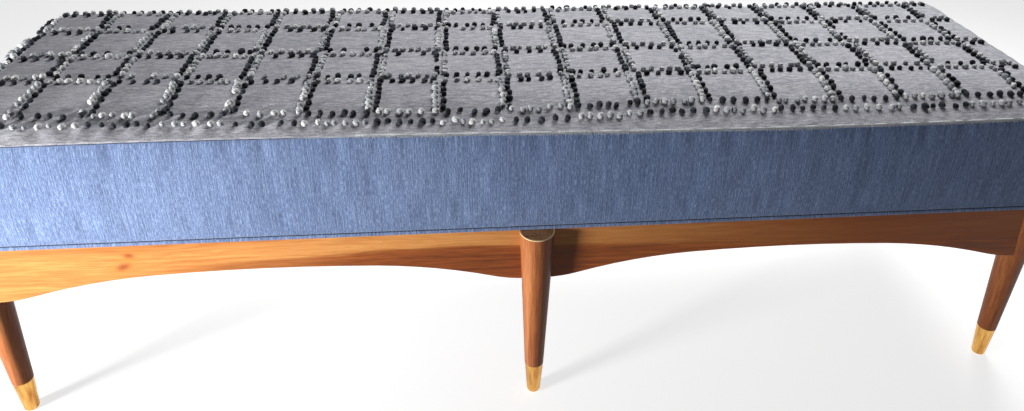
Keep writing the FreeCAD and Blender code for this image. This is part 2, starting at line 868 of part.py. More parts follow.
def crowned_solid(inset, base, top_drop):
    """Makes a solid with a level base and a crowned top that rounds down on all sides.

    The top's height at a distance d inside the seam line is crown * (1 - (1 - d / run) ** power).

    Args:
        inset: How far the solid stays inside the seam line.
        base: Z of its base.
        top_drop: How far its top stays under the crown of the fabric.

    Returns:
        The solid.
    """
    half_x = number("Sizes.seat_half_length")
    half_y = number("Sizes.seat_half_depth")
    corner = number("Sizes.seat_corner_radius")
    crown = number("Sizes.crown_height") - top_drop
    run = number("Sizes.crown_run") - inset
    power = number("Sizes.crown_power")
    wires = []
    for share in (0.0, 0.05, 0.13, 0.26, 0.45, 0.7, 1.0):
        inwards = inset + run * share
        height = base + crown * (1 - (1 - share) ** power)
        radius = corner - inset + inwards * 0.35
        wires.append(rounded_wire(half_x - inwards, half_y - inwards, radius, height))
    return Part.makeLoft(wires, True, False)


def make_top():
    """Makes the crowned top fabric and the wadding under it."""
    seam = number(SEAM)
    cloth = number("Sizes.cloth_thickness")
    gap = number("Sizes.soft_gap")
    outer = crowned_solid(0.0, seam, 0.0)
    hollow = crowned_solid(cloth, seam, cloth)
    cover = doc.addObject("Part::Feature", "top_cover_shape")
    cover.Shape = outer.cut(hollow)
    keep(cover, "top_cover")
    wadding = doc.addObject("Part::Feature", "wadding_layer_shape")
    wadding.Shape = crowned_solid(cloth + gap, seam, cloth + gap)
    keep(wadding, "wadding_layer")


def make_boxing():
    """Makes the four boxing bands, each swelling a little at half height."""
    half_x = number("Sizes.seat_half_length")
    half_y = number("Sizes.seat_half_depth")
    corner = number("Sizes.seat_corner_radius")
    cloth = number("Sizes.cloth_thickness")
    bulge = number("Sizes.boxing_bulge")
    gap = number("Sizes.soft_gap")
    low = number("Sizes.leg_height + Sizes.hem_height")
    high = number(f"{SEAM} - 2 * Sizes.welt_radius") - gap
    wires = []
    for share in (0.0, 0.25, 0.5, 0.75, 1.0):
        swell = bulge * (1 - (2 * share - 1) ** 2)
        height = low + (high - low) * share
        wires.append(rounded_wire(half_x + swell, half_y + swell, corner + swell, height))
    outer = Part.makeLoft(wires, True, False)
    face = Part.Face(rounded_wire(half_x - cloth, half_y - cloth, corner - cloth, low - 1))
    ring = outer.cut(face.extrude(FreeCAD.Vector(0, 0, high - low + 2)))
    seam_x = half_x - corner
    reach = half_x + bulge + 5
    depth = half_y + bulge + 5
    tall = high - low + 2
    for side, sign in SIDES.items():
        start = FreeCAD.Vector(-seam_x, -depth if sign < 0 else 0, low - 1)
        room = Part.makeBox(2 * seam_x, depth, tall, start)
        band = doc.addObject("Part::Feature", f"{side}_band_shape")
        band.Shape = ring.common(room)
        keep(band, f"{side}_band")
    for end, sign in ENDS.items():
        start = FreeCAD.Vector(seam_x if sign > 0 else -reach, -depth, low - 1)
        room = Part.makeBox(reach - seam_x, 2 * depth, tall, start)
        band = doc.addObject("Part::Feature", f"{end}_band_shape")
        band.Shape = ring.common(room)
        keep(band, f"{end}_band")


def make_welt():
    """Makes the cord that runs once round the seat in the top seam."""
    radius = number("Sizes.welt_radius")
    cloth = number("Sizes.cloth_thickness")
    height = number(SEAM) - radius - number("Sizes.soft_gap") / 2
    inset = cloth / 2
    half_x = number("Sizes.seat_half_length") - inset
    half_y = number("Sizes.seat_half_depth") - inset
    corner = number("Sizes.seat_corner_radius") - inset
    path = rounded_wire(half_x, half_y, corner, height)
    start = FreeCAD.Vector(half_x, half_y - corner, height)
    ring = Part.Wire(Part.makeCircle(radius, start, FreeCAD.Vector(0, 1, 0)))
    welt = doc.addObject("Part::Feature", "top_welt_shape")
    welt.Shape = path.makePipeShell([ring], True, False)
    keep(welt, "top_welt")


def check():
    """Stops the run if any object has failed or any piece isn't a valid solid."""
    for item in doc.Objects:
        if "Invalid" in item.State or "Error" in item.State:
            raise RuntimeError(f"{item.Label} has failed: {item.State}")
    for label, item in pieces.items():
        shape = item.Shape
        if shape.isNull() or not shape.isValid() or len(shape.Solids) != 1:
            raise RuntimeError(f"{label} isn't one valid solid")
        if shape.Solids[0].Volume <= 0:
            raise RuntimeError(f"{label} has no volume")


def write():
    """Writes every piece to a file that carries its name."""
    os.makedirs(PARTS_FOLDER, exist_ok=True)
    for label, item in sorted(pieces.items()):
        item.Shape.exportStep(os.path.join(PARTS_FOLDER, f"{label}.step"))
        box_of = item.Shape.BoundBox
        print(f"{label}: {item.Shape.Volume / 1000:.1f} cm3, top {box_of.ZMax:.1f} mm")


make_long_aprons()
make_end_aprons()
for corner_name, (corner_x, corner_y) in CORNERS.items():
    make_corner(corner_name, corner_x, corner_y)
make_middle_legs()
make_middle_rail()
make_board_and_foam()
make_boxing()
make_welt()
make_top()
doc.recompute()
check()
write()
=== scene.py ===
"""Dresses the solids of a long upholstered bench and sets it in a plain studio.

Lengths are in metres in the frame of the solids: X along the bench, Y from front to back, Z up.
"""
import logging
import math
from dataclasses import dataclass, field, replace
from enum import Enum

import bpy
import numpy as np
from mathutils import Matrix, Vector


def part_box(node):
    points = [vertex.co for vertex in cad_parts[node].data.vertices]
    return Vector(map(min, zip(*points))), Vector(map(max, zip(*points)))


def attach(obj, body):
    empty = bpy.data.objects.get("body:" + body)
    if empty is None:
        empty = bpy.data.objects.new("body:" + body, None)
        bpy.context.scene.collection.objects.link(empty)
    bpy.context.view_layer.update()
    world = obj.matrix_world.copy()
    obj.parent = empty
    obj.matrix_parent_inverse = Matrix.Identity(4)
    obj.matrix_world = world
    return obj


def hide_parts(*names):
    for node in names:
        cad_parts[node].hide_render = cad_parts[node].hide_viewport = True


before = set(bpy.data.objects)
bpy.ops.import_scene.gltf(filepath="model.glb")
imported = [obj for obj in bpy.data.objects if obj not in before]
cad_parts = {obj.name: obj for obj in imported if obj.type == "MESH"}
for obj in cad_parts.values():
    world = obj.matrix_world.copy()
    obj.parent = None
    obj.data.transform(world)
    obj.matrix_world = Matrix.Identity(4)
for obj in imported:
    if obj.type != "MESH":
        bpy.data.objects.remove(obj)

Array = np.ndarray
Colour = tuple[float, float, float, float]
Socket = bpy.types.NodeSocket

MM = 0.001
BODY = "root"
log = logging.getLogger("bench")


def srgb(red: int, green: int, blue: int) -> Colour:
    """Turns an 8-bit display colour into the linear colour that a shader takes.

    Args:
        red: Red, 0 to 255.
        green: Green, 0 to 255.
        blue: Blue, 0 to 255.

    Returns:
        The linear colour with an alpha of 1.
    """
    shares = (channel / 255 for channel in (red, green, blue))
    linear = [c / 12.92 if c <= 0.04045 else ((c + 0.055) / 1.055) ** 2.4 for c in shares]
    return (linear[0], linear[1], linear[2], 1.0)


class Grain(Enum):
    """The way that the long grain of a board or a leg runs."""

    ALONG_X = 0
    ALONG_Y = 1
    ALONG_Z = 2


class Tone(Enum):
    """The two yarns of the embroidered knots."""

    LIGHT = "light"
    DARK = "dark"


class Board:
    """A material's node tree, wired node by node."""

    def __init__(self, name: str) -> None:
        """Starts a material with a plain shader.

        Args:
            name: The material's name.
        """
        self.material = bpy.data.materials.new(name)
        self.material.use_nodes = True
        self.tree = self.material.node_tree
        self.shader = self.tree.nodes["Principled BSDF"]

    def add(self, kind: str, sockets: dict | None = None, **settings: object) -> bpy.types.Node:
        """Adds a node.

        Args:
            kind: The node's type without its ShaderNode prefix.
            sockets: Input name or index and its value, or the socket to wire to it.
            **settings: Properties of the node.

        Returns:
            The node.
        """
        node = self.tree.nodes.new("ShaderNode" + kind)
        for name, value in settings.items():
            setattr(node, name, value)
        for name, value in (sockets or {}).items():
            if isinstance(value, bpy.types.NodeSocket):
                self.tree.links.new(value, node.inputs[name])
            else:
                node.inputs[name].default_value = value
        return node

    def place(self, stretch: tuple[float, float, float], on_map: bool = False,
              shift: tuple[float, float, float] = (0.0, 0.0, 0.0)) -> Socket:
        """Gives the coordinates of the piece, stretched for a pattern.

        Args:
            stretch: Repeats per metre along each axis.
            on_map: Whether to read the piece's own map rather than its place in space.
            shift: Offset after the stretch.

        Returns:
            The coordinates.
        """
        source = self.add("TexCoord").outputs["UV" if on_map else "Object"]
        mapping = self.add("Mapping", {"Vector": source, "Scale": stretch, "Location": shift})
        return mapping.outputs["Vector"]

    def noise(self, spots: Socket, detail: float = 3.0, roughness: float = 0.55,
              distortion: float = 0.0, size: float = 1.0) -> Socket:
        """Gives a smooth noise between 0 and 1.

        Args:
            spots: Coordinates.
            detail: Octaves.
            roughness: Weight of the finer octaves.
            distortion: How much the pattern is warped.
            size: Repeats per unit of the coordinates.

        Returns:
            The noise value.
        """
        settings = {"Vector": spots, "Scale": size, "Detail": detail,
                    "Roughness": roughness, "Distortion": distortion}
        return self.add("TexNoise", settings).outputs["Fac"]

    def ramp(self, factor: Socket, stops: list[tuple[float, Colour]]) -> Socket:
        """Turns a value into a colour between stops.

        Args:
            factor: The value.
            stops: Position and colour of each stop, in order.

        Returns:
            The colour.
        """
        node = self.add("ValToRGB", {"Fac": factor})
        elements = node.color_ramp.elements
        for index, (position, colour) in enumerate(stops):
            stop = elements[index] if index < 2 else elements.new(position)
            stop.position = position
            stop.color = colour
        return node.outputs["Color"]

    def tones(self, factor: Socket, deep: Colour, middle: Colour, pale: Colour) -> Socket:
        """Turns a value from 0 to 1 into a colour between three evenly placed tones."""
        return self.ramp(factor, [(0.0, deep), (0.5, middle), (1.0, pale)])

    def span(self, value: Socket, low: float, high: float,
             to_low: float = 0.0, to_high: float = 1.0) -> Socket:
        """Maps a value's range to another, clamped.

        Args:
            value: The value.
            low: Start of its range.
            high: End of its range.
            to_low: What the start becomes.
            to_high: What the end becomes.

        Returns:
            The mapped value.
        """
        settings = {"Value": value, "From Min": low, "From Max": high,
                    "To Min": to_low, "To Max": to_high}
        return self.add("MapRange", settings).outputs["Result"]

    def mix(self, factor: Socket | float, under: Socket | Colour, over: Socket | Colour,
            way: str = "MIX") -> Socket:
        """Blends two colours.

        Args:
            factor: Share of the upper colour.
            under: The lower colour.
            over: The upper colour.
            way: Blending mode.

        Returns:
            The blended colour.
        """
        node = self.add("Mix", data_type="RGBA", blend_type=way)
        for index, value in ((0, factor), (6, under), (7, over)):
            if isinstance(value, bpy.types.NodeSocket):
                self.tree.links.new(value, node.inputs[index])
            else:
                node.inputs[index].default_value = value
        return node.outputs[2]

    def sum(self, *parts: tuple[Socket, float]) -> Socket:
        """Adds weighted values.

        Args:
            *parts: Each value with its weight.

        Returns:
            The sum.
        """
        total = None
        for value, weight in parts:
            term = self.add("Math", {0: value, 1: weight}, operation="MULTIPLY").outputs[0]
            if total is None:
                total = term
            else:
                total = self.add("Math", {0: total, 1: term}, operation="ADD").outputs[0]
        return total

    def reckon(self, way: str, first: Socket | float, second: Socket | float = 0.0) -> Socket:
        """Works out one step of arithmetic, by the name of its operation."""
        return self.add("Math", {0: first, 1: second}, operation=way).outputs[0]

    def axes(self) -> bpy.types.bpy_prop_collection:
        """Gives the three coordinates of the piece, in metres, as outputs of their own."""
        return self.add("SeparateXYZ", {0: self.add("TexCoord").outputs["Object"]}).outputs

    def attribute(self, name: str) -> Socket:
        """Gives a value that the piece's points carry."""
        return self.add("Attribute", attribute_name=name).outputs["Fac"]

    def length(self, spots: Socket) -> Socket:
        """Gives the distance of coordinates from their origin."""
        return self.add("VectorMath", {0: spots}, operation="LENGTH").outputs["Value"]

    def surface(self, colour: Socket, height: Socket, depth: float,
                roughness: float | Socket, **fixed: float) -> bpy.types.Material:
        """Wires the shader.

        Args:
            colour: Base colour.
            height: Relief between 0 and 1.
            depth: Depth of the relief in metres.
            roughness: Roughness of the surface.
            **fixed: Other shader inputs, with spaces written as underscores.

        Returns:
            The finished material.
        """
        links = self.tree.links
        links.new(colour, self.shader.inputs["Base Color"])
        bump = self.add("Bump", {"Height": height, "Strength": 1.0, "Distance": depth})
        links.new(bump.outputs["Normal"], self.shader.inputs["Normal"])
        if isinstance(roughness, bpy.types.NodeSocket):
            links.new(roughness, self.shader.inputs["Roughness"])
        else:
            self.shader.inputs["Roughness"].default_value = roughness
        for name, value in fixed.items():
            self.shader.inputs[name.replace("_", " ")].default_value = value
        return self.material


@dataclass(frozen=True)
class Threads:
    """One layer of a cloth's pattern: repeats per metre, share of the shade and half-range."""

    repeats: tuple[float, float, float]
    share: float
    half_range: float = 0.17
    detail: float = 2.0


@dataclass(frozen=True)
class Nap:
    """How a fabric takes the light."""

    roughness: float = 0.88
    sheen: float = 0.15
    sheen_roughness: float = 0.5
    gloss: float = 0.2

    def finish(self, board: Board, colour: Socket, height: Socket,
               depth: float) -> bpy.types.Material:
        """Wires a fabric's shader.

        Args:
            board: The node tree.
            colour: Base colour.
            height: Relief between 0 and 1.
            depth: Depth of the relief in metres.

        Returns:
            The finished material.
        """
        return board.surface(
            colour, height, depth, self.roughness, Sheen_Weight=self.sheen,
            Sheen_Roughness=self.sheen_roughness, Specular_IOR_Level=self.gloss,
        )


@dataclass(frozen=True)
class SlubCloth:
    """Plain weave whose uneven threads show as streaks; its last layer is large faint patches."""

    name: str
    deep: Colour
    middle: Colour
    pale: Colour
    layers: tuple[Threads, ...]
    relief: float = 0.35 * MM
    on_map: bool = True
    # Painted shade: a dark colour for where the piece lies hidden in a groove.
    hidden: Colour | None = None
    softness: float = 0.5
    nap: Nap = Nap()

    def make(self) -> bpy.types.Material:
        """Adds the layers by their shares, each stretched to its full range first.

        A cloth with a hidden colour shows that where its attribute "shown" is 0; on the seam cord
        that colour is painted shade, the dark of the seam's groove where the frayed edge lies
        hidden.

        Returns:
            The finished material.
        """
        board = Board(self.name)
        parts = []
        for threads in self.layers:
            spots = board.place(threads.repeats, self.on_map)
            raw = board.noise(spots, threads.detail, self.softness)
            low, high = 0.5 - threads.half_range, 0.5 + threads.half_range
            parts.append((board.span(raw, low, high), threads.share))
        colour = board.tones(board.sum(*parts), self.deep, self.middle, self.pale)
        # Painted shade: the hidden colour darkens the cloth where its attribute "shown" is 0.
        if self.hidden is not None:
            colour = board.mix(board.attribute("shown"), self.hidden, colour)
        return self.nap.finish(board, colour, board.sum(*parts[:-1]), self.relief)


@dataclass(frozen=True)
class KnotYarn:
    """Wool yarn coiled into knots; every knot has a shade of its own."""

    name: str
    deep: Colour
    middle: Colour
    pale: Colour
    coil_size: float = 0.1 * math.pi
    coil_warp: float = 1.6
    coil_warp_size: float = 2.0
    fuzz_repeats: float = 700.0
    fuzz_softness: float = 0.6
    shares: tuple[float, float, float] = (0.55, 0.22, 0.4)
    contrast: tuple[float, float] = (0.25, 0.92)
    relief_shares: tuple[float, float] = (0.6, 0.4)
    relief: float = 0.5 * MM
    nap: Nap = Nap(roughness=0.85, sheen_roughness=0.4)

    def make(self) -> bpy.types.Material:
        """Shades each knot by its attribute and darkens the gaps between its coils with painted
        shade.

        Returns:
            The yarn's material.
        """
        board = Board(self.name)
        own = board.attribute("shade")
        coils = board.add(
            "TexWave",
            {"Vector": board.place((1.0, 1.0, 1.0), True), "Scale": self.coil_size,
             "Distortion": self.coil_warp, "Detail": 1.0, "Detail Scale": self.coil_warp_size},
            wave_type="BANDS", bands_direction="X", wave_profile="SIN",
        ).outputs["Fac"]
        fuzz = board.noise(board.place((self.fuzz_repeats,) * 3), roughness=self.fuzz_softness)
        # Painted shade: the coil bands darken the colour in the gaps between the coils.
        value = board.sum(*zip((own, coils, fuzz), self.shares))
        shade = board.span(value, *self.contrast)
        colour = board.tones(shade, self.deep, self.middle, self.pale)
        height = board.sum(*zip((coils, fuzz), self.relief_shares))
        return self.nap.finish(board, colour, height, self.relief)


@dataclass(frozen=True)
class Heartwood:
    """The darker wood along the lower part of a board, below a low ridge-shaped edge.

    A painted shade, a brown tint multiplied over the wood, grows along the board between the two
    places of its span and darkens the far end as shade would; the dark wood starts between the
    places of "fades". The edge wanders with a slow noise and carries a thin darker line.
    """

    top: float = 270.5 * MM
    crest: float = -110 * MM
    fall: float = 0.0385
    round_off: float = 50 * MM
    fades: tuple[float, float] = (-520 * MM, -250 * MM)
    deep: Colour = srgb(74, 32, 12)
    middle: Colour = srgb(138, 72, 31)
    pale: Colour = srgb(184, 108, 52)
    # Painted shade: where and how strongly a brown tint darkens the board towards its far end.
    painted_shade_span: tuple[float, float] = (-150 * MM, 480 * MM)
    painted_shade_share: float = 0.85
    painted_shade_tint: Colour = srgb(158, 112, 78)
    wander: float = 12 * MM
    wander_repeats: tuple[float, float] = (9.0, 60.0)
    edge: tuple[float, float] = (-1.4 * MM, 2.4 * MM)
    line: float = 1.2 * MM
    line_share: float = 0.35


@dataclass(frozen=True)
class KnotZone:
    """One soft zone of a wood knot: it is full inside the first reach and gone at the second."""

    full: float
    gone: float
    share: float
    colour: Colour


@dataclass(frozen=True)
class WoodKnot:
    """A small knot in the face of a board: a soft brown ellipse, tilted in the face.

    Its zones are a halo, a brown ellipse and a darker core, with reaches in sizes of the knot.
    """

    at: tuple[float, float, float]
    half_long: float
    half_high: float
    tilt: float
    half_deep: float = 50 * MM
    edge_repeats: tuple[float, float, float] = (330.0, 330.0, 600.0)
    edge_share: float = 0.9
    zones: tuple[KnotZone, ...] = (
        KnotZone(1.0, 3.2, 0.6, srgb(206, 120, 56)),
        KnotZone(1.1, 1.75, 0.85, srgb(164, 96, 48)),
        KnotZone(0.6, 1.25, 0.7, srgb(122, 64, 30)),
    )


@dataclass(frozen=True)
class EndGrain:
    """The sawn top of a leg, with a pale painted highlight round its rim.

    Its end grain is partly its own lighter tone and partly painted light that lifts the shade
    under the seat. The painted highlight starts between two distances inside the rim and two
    distances below the top.
    """

    axis: tuple[float, float]
    radius: float
    height: float
    # Painted light: the sawn top's tones are lighter, in part to lift the shade under the seat.
    deep: Colour = srgb(112, 62, 32)
    pale: Colour = srgb(214, 156, 100)
    # Painted highlight: the pale colour of the ring round the rim.
    rim: Colour = srgb(244, 214, 160)
    dot_repeats: tuple[float, float, float] = (420.0, 420.0, 60.0)
    ring_repeats: tuple[float, float, float] = (30.0, 170.0, 1.0)
    shares: tuple[float, float] = (0.7, 0.5)
    contrast: tuple[float, float] = (0.42, 0.78)
    top_edge: tuple[float, float] = (0.5 * MM, 0.2 * MM)
    highlight_inside: tuple[float, float] = (2.0 * MM, 0.9 * MM)
    highlight_below: tuple[float, float] = (1.9 * MM, 1.1 * MM)
    highlight_share: float = 0.85


@dataclass(frozen=True)
class Streaks:
    """One layer of a wood's pattern, in repeats per metre along and across the grain."""

    along: float
    across: float
    detail: float
    softness: float = 0.5
    share: float = 0.0


@dataclass(frozen=True)
class OiledWood:
    """Satin wood with a long grain, broad growth bands, fine figure and short pores."""

    name: str
    grain: Grain
    centre: tuple[float, float, float]
    deep: Colour
    middle: Colour
    pale: Colour
    bands: Streaks = Streaks(1.4, 26.0, 2.0, share=0.6)
    figure: Streaks = Streaks(7.0, 210.0, 4.0, 0.6, 0.55)
    hairs: Streaks = Streaks(24.0, 620.0, 2.0, share=0.35)
    pores: Streaks = Streaks(60.0, 1100.0, 1.0, share=0.4)
    pore_edge: tuple[float, float] = (0.62, 0.76)
    contrast: float = 0.26
    warp: float = 20 * MM
    warp_repeats: float = 3.0
    knots: tuple[WoodKnot, ...] = ()
    heart: Heartwood | None = None
    end: EndGrain | None = None
    roughness: float = 0.46
    gloss_range: tuple[float, float] = (-0.07, 0.08)
    relief: float = 0.12 * MM
    relief_shares: tuple[float, float, float] = (0.35, 0.35, -0.5)
    coat: float = 0.03
    coat_roughness: float = 0.25
    gloss: float = 0.22

    def stretch(self, along: float, across: float) -> tuple[float, float, float]:
        """Gives the repeats per metre along and across the grain.

        Args:
            along: Repeats along the grain.
            across: Repeats across it.

        Returns:
            The repeats on each axis.
        """
        repeats = [across, across, across]
        repeats[self.grain.value] = along
        return (repeats[0], repeats[1], repeats[2])

    def lay_knot(self, board: Board, colour: Socket, knot: WoodKnot) -> Socket:
        """Lays the zones of one small knot over the grain, with an uneven edge.

        Args:
            board: The node tree.
            colour: The wood so far.
            knot: The knot.

        Returns:
            The colour with the knot.
        """
        shift = tuple(-spot for spot in knot.at)
        centred = board.place((1.0, 1.0, 1.0), False, shift)
        turned = board.add("Mapping", {"Vector": centred, "Rotation": (0.0, knot.tilt, 0.0)})
        size = (1 / knot.half_long, 1 / knot.half_deep, 1 / knot.half_high)
        sized = board.add("Mapping", {"Vector": turned.outputs["Vector"], "Scale": size})
        far = board.length(sized.outputs["Vector"])
        wavy = board.noise(board.place(knot.edge_repeats))
        edge = board.sum((far, 1.0), (wavy, knot.edge_share))
        for zone in knot.zones:
            share = board.span(edge, zone.full, zone.gone, zone.share, 0.0)
            colour = board.mix(share, colour, zone.colour)
        return colour

    def lay_heart(self, board: Board, colour: Socket, shade: Socket, heart: Heartwood) -> Socket:
        """Lays the darker wood below its edge, and a browner painted shade towards the board's far
        end.

        The edge's height is its top, less the fall times the distance from the crest, rounded
        at the crest, plus a slow noise. Towards the first fade the dark wood thins out.

        Args:
            board: The node tree.
            colour: The wood so far.
            shade: The figure, 0 to 1.
            heart: Its sizes and colours.

        Returns:
            The colour with the darker wood.
        """
        parts = board.axes()
        along = parts[self.grain.value]
        off = board.reckon("SUBTRACT", along, heart.crest)
        square = board.reckon("ADD", board.reckon("MULTIPLY", off, off), heart.round_off ** 2)
        drop = board.reckon("MULTIPLY", board.reckon("SQRT", square), heart.fall)
        slow = board.noise(board.place(self.stretch(*heart.wander_repeats)), detail=4.0)
        edge = board.sum((drop, -1.0), (slow, heart.wander), (parts[2], -1.0))
        lift = heart.top + heart.fall * heart.round_off - heart.wander / 2
        # Painted shade: the board is multiplied by a brown tint towards its far end.
        painted_shade_span = board.span(along, *heart.painted_shade_span, 0.0, heart.painted_shade_share)
        colour = board.mix(painted_shade_span, colour, board.mix(1.0, colour, heart.painted_shade_tint, "MULTIPLY"))
        below = board.reckon("ADD", edge, lift)
        strength = board.span(along, *heart.fades)
        here = board.reckon("MULTIPLY", board.span(below, *heart.edge), strength)
        dark = board.tones(shade, heart.deep, heart.middle, heart.pale)
        colour = board.mix(here, colour, dark)
        off_edge = board.reckon("ABSOLUTE", below)
        line = board.span(off_edge, 0.0, heart.line, heart.line_share, 0.0)
        return board.mix(board.reckon("MULTIPLY", line, strength), colour, heart.deep)

    def lay_end(self, board: Board, colour: Socket, end: EndGrain) -> Socket:
        """Lays the end grain over the sawn top, and a painted highlight where top and side meet.

        Args:
            board: The node tree.
            colour: The wood so far.
            end: Its sizes and colours.

        Returns:
            The colour with the end grain.
        """
        def inside(value: Socket, limit: float, edge: tuple[float, float]) -> Socket:
            """Gives 1 where the value comes closer to its limit than the edge's distances."""
            return board.span(value, limit - edge[0], limit - edge[1])

        shift = (-end.axis[0], -end.axis[1], 0.0)
        far = board.length(board.place((1.0, 1.0, 0.0), False, shift))
        height = board.axes()[2]
        dots = board.noise(board.place(end.dot_repeats), detail=5.0, roughness=0.7)
        rings = board.noise(board.place(end.ring_repeats), detail=3.0, roughness=0.6)
        mottle = board.span(board.sum(*zip((dots, rings), end.shares)), *end.contrast)
        sawn = board.mix(mottle, end.deep, end.pale)
        colour = board.mix(inside(height, end.height, end.top_edge), colour, sawn)
        near_rim = inside(far, end.radius, end.highlight_inside)
        near_top = inside(height, end.height, end.highlight_below)
        # Painted highlight: a pale ring where the sawn top meets the side.
        painted_rim_highlight = board.reckon("MULTIPLY", near_rim, near_top)
        return board.mix(board.reckon("MULTIPLY", painted_rim_highlight, end.highlight_share), colour, end.rim)

    def warped(self, board: Board) -> Socket:
        """Gives coordinates from the centre, each moved a little by a slow noise.

        Args:
            board: The material's node board.

        Returns:
            The moved coordinates.
        """
        shift = tuple(-spot for spot in self.centre)
        source = board.add("TexCoord").outputs["Object"]
        centred = board.add("Mapping", {"Vector": source, "Location": shift}).outputs["Vector"]
        warp = board.add(
            "TexNoise", {"Vector": centred, "Scale": self.warp_repeats, "Detail": 2.0}
        ).outputs["Color"]
        bent = board.add(
            "VectorMath", {0: warp, 1: (0.5,) * 3}, operation="SUBTRACT"
        ).outputs["Vector"]
        return board.add(
            "VectorMath", {0: bent, 1: (self.warp,) * 3, 2: centred}, operation="MULTIPLY_ADD"
        ).outputs["Vector"]

    def make(self) -> bpy.types.Material:
        """Lays the growth bands, the figure, the pores and any knots over one another.

        Returns:
            The wood's material.
        """
        board = Board(self.name)
        eased = self.warped(board)

        def layer(streaks: Streaks) -> Socket:
            """Gives one noise drawn out along the grain."""
            scale = self.stretch(streaks.along, streaks.across)
            spots = board.add("Mapping", {"Vector": eased, "Scale": scale}).outputs["Vector"]
            return board.noise(spots, streaks.detail, streaks.softness)

        parts = (self.bands, self.figure, self.hairs)
        bands, figure, hairs = (layer(streaks) for streaks in parts)
        pores = board.span(layer(self.pores), *self.pore_edge, 0.0, self.pores.share)
        value = board.sum(*zip((bands, figure, hairs), (streaks.share for streaks in parts)))
        middle = 0.5 * sum(streaks.share for streaks in parts)
        shade = board.span(value, middle - self.contrast, middle + self.contrast)
        colour = board.tones(shade, self.deep, self.middle, self.pale)
        if self.heart is not None:
            colour = self.lay_heart(board, colour, shade, self.heart)
        colour = board.mix(pores, colour, self.deep)
        height = board.sum(*zip((figure, hairs, pores), self.relief_shares))
        for knot in self.knots:
            colour = self.lay_knot(board, colour, knot)
        if self.end is not None:
            colour = self.lay_end(board, colour, self.end)
        smooth, dull = (self.roughness + step for step in self.gloss_range)
        return board.surface(
            colour, height, self.relief, board.span(figure, 0.3, 0.7, smooth, dull),
            Coat_Weight=self.coat, Coat_Roughness=self.coat_roughness,
            Specular_IOR_Level=self.gloss,
        )


@dataclass(frozen=True)
class SatinMetal:
    """Metal with fine turned scratches, faint stains and softly varied gloss."""

    name: str
    colour: Colour
    stain: Colour
    roughness: float = 0.28
    scratch_repeats: tuple[float, float, float] = (60.0, 60.0, 1800.0)
    stain_repeats: tuple[float, float, float] = (150.0, 150.0, 22.0)
    stain_edge: tuple[float, float] = (0.3, 0.66)
    gloss_range: tuple[float, float] = (-0.08, 0.14)
    relief: float = 0.03 * MM

    def make(self) -> bpy.types.Material:
        """Varies the colour with stains and the gloss with turned scratches.

        Returns:
            The metal's material.
        """
        board = Board(self.name)
        turned = board.noise(board.place(self.scratch_repeats), detail=2.0)
        stains = board.noise(board.place(self.stain_repeats), detail=4.0, roughness=0.6)
        stained = board.span(stains, *self.stain_edge)
        colour = board.ramp(stained, [(0.0, self.stain), (1.0, self.colour)])
        smooth, dull = (self.roughness + step for step in self.gloss_range)
        gloss = board.span(turned, 0.2, 0.8, smooth, dull)
        return board.surface(colour, turned, self.relief, gloss, Metallic=1.0)


def show(item: bpy.types.Object, material: bpy.types.Material) -> bpy.types.Object:
    """Gives a new piece its material and its body.

    Args:
        item: The piece.
        material: Its finish.

    Returns:
        The same piece.
    """
    item.data.materials.clear()
    item.data.materials.append(material)
    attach(item, BODY)
    return item


def assemble(name: str, points: Array, faces: list[Array], maps: list[Array]) -> bpy.types.Object:
    """Puts whole arrays of points and faces into a new smooth mesh.

    Args:
        name: The piece's name.
        points: Corner places, (n, 3).
        faces: Groups of faces with as many corners each, (m, k).
        maps: Map place of each corner of each group, (m, k, 2).

    Returns:
        The new object.
    """
    mesh = bpy.data.meshes.new(name)
    corners = np.concatenate([group.ravel() for group in faces]).astype(np.int32)
    totals = np.concatenate([np.full(len(group), group.shape[1]) for group in faces])
    starts = np.concatenate(([0], np.cumsum(totals)[:-1])).astype(np.int32)
    mesh.vertices.add(len(points))
    mesh.vertices.foreach_set("co", np.ascontiguousarray(points, np.float32).ravel())
    mesh.loops.add(len(corners))
    mesh.loops.foreach_set("vertex_index", corners)
    mesh.polygons.add(len(starts))
    mesh.polygons.foreach_set("loop_start", starts)
    mesh.polygons.foreach_set("use_smooth", np.ones(len(starts), bool))
    layer = mesh.uv_layers.new(name="UVMap")
    spread = np.concatenate([group.reshape(-1, 2) for group in maps]).astype(np.float32)
    layer.data.foreach_set("uv", spread.ravel())
    mesh.update(calc_edges=True)
    mesh.validate()
    item = bpy.data.objects.new(name, mesh)
    bpy.context.scene.collection.objects.link(item)
    return item


def quilt(rows: int, cols: int, uv: Array, round_rows: bool = False,
          round_cols: bool = False) -> tuple[Array, Array]:
    """Lists the four-cornered faces of a grid, which may close on itself either way.

    Args:
        rows: Rows of points.
        cols: Points in a row.
        uv: Map places, with one row or column more where the grid closes.
        round_rows: Whether the last row joins the first.
        round_cols: Whether the last column joins the first.

    Returns:
        The faces and the map places of their corners.
    """
    i, j = np.meshgrid(np.arange(rows - 1 + round_rows), np.arange(cols - 1 + round_cols),
                       indexing="ij")
    row = np.stack([i, i + 1, i + 1, i], -1).reshape(-1, 4)
    col = np.stack([j, j, j + 1, j + 1], -1).reshape(-1, 4)
    return (row % rows) * cols + col % cols, uv[row, col]


def outer_loop(index: Array) -> Array:
    """Lists the outer points of a grid of point numbers, once round."""
    return np.concatenate([index[:-1, 0], index[-1, :-1], index[:0:-1, -1], index[0, :0:-1]])


def skirt(table: Array) -> Array:
    """Lists the faces of a strip that goes once round a rim.

    Args:
        table: Point numbers, with a row for each place on the rim and down the strip along it.

    Returns:
        The faces, (n, 4).
    """
    following = np.roll(table, -1, 0)
    corners = [table[:, :-1], table[:, 1:], following[:, 1:], following[:, :-1]]
    return np.stack(corners, -1).reshape(-1, 4)


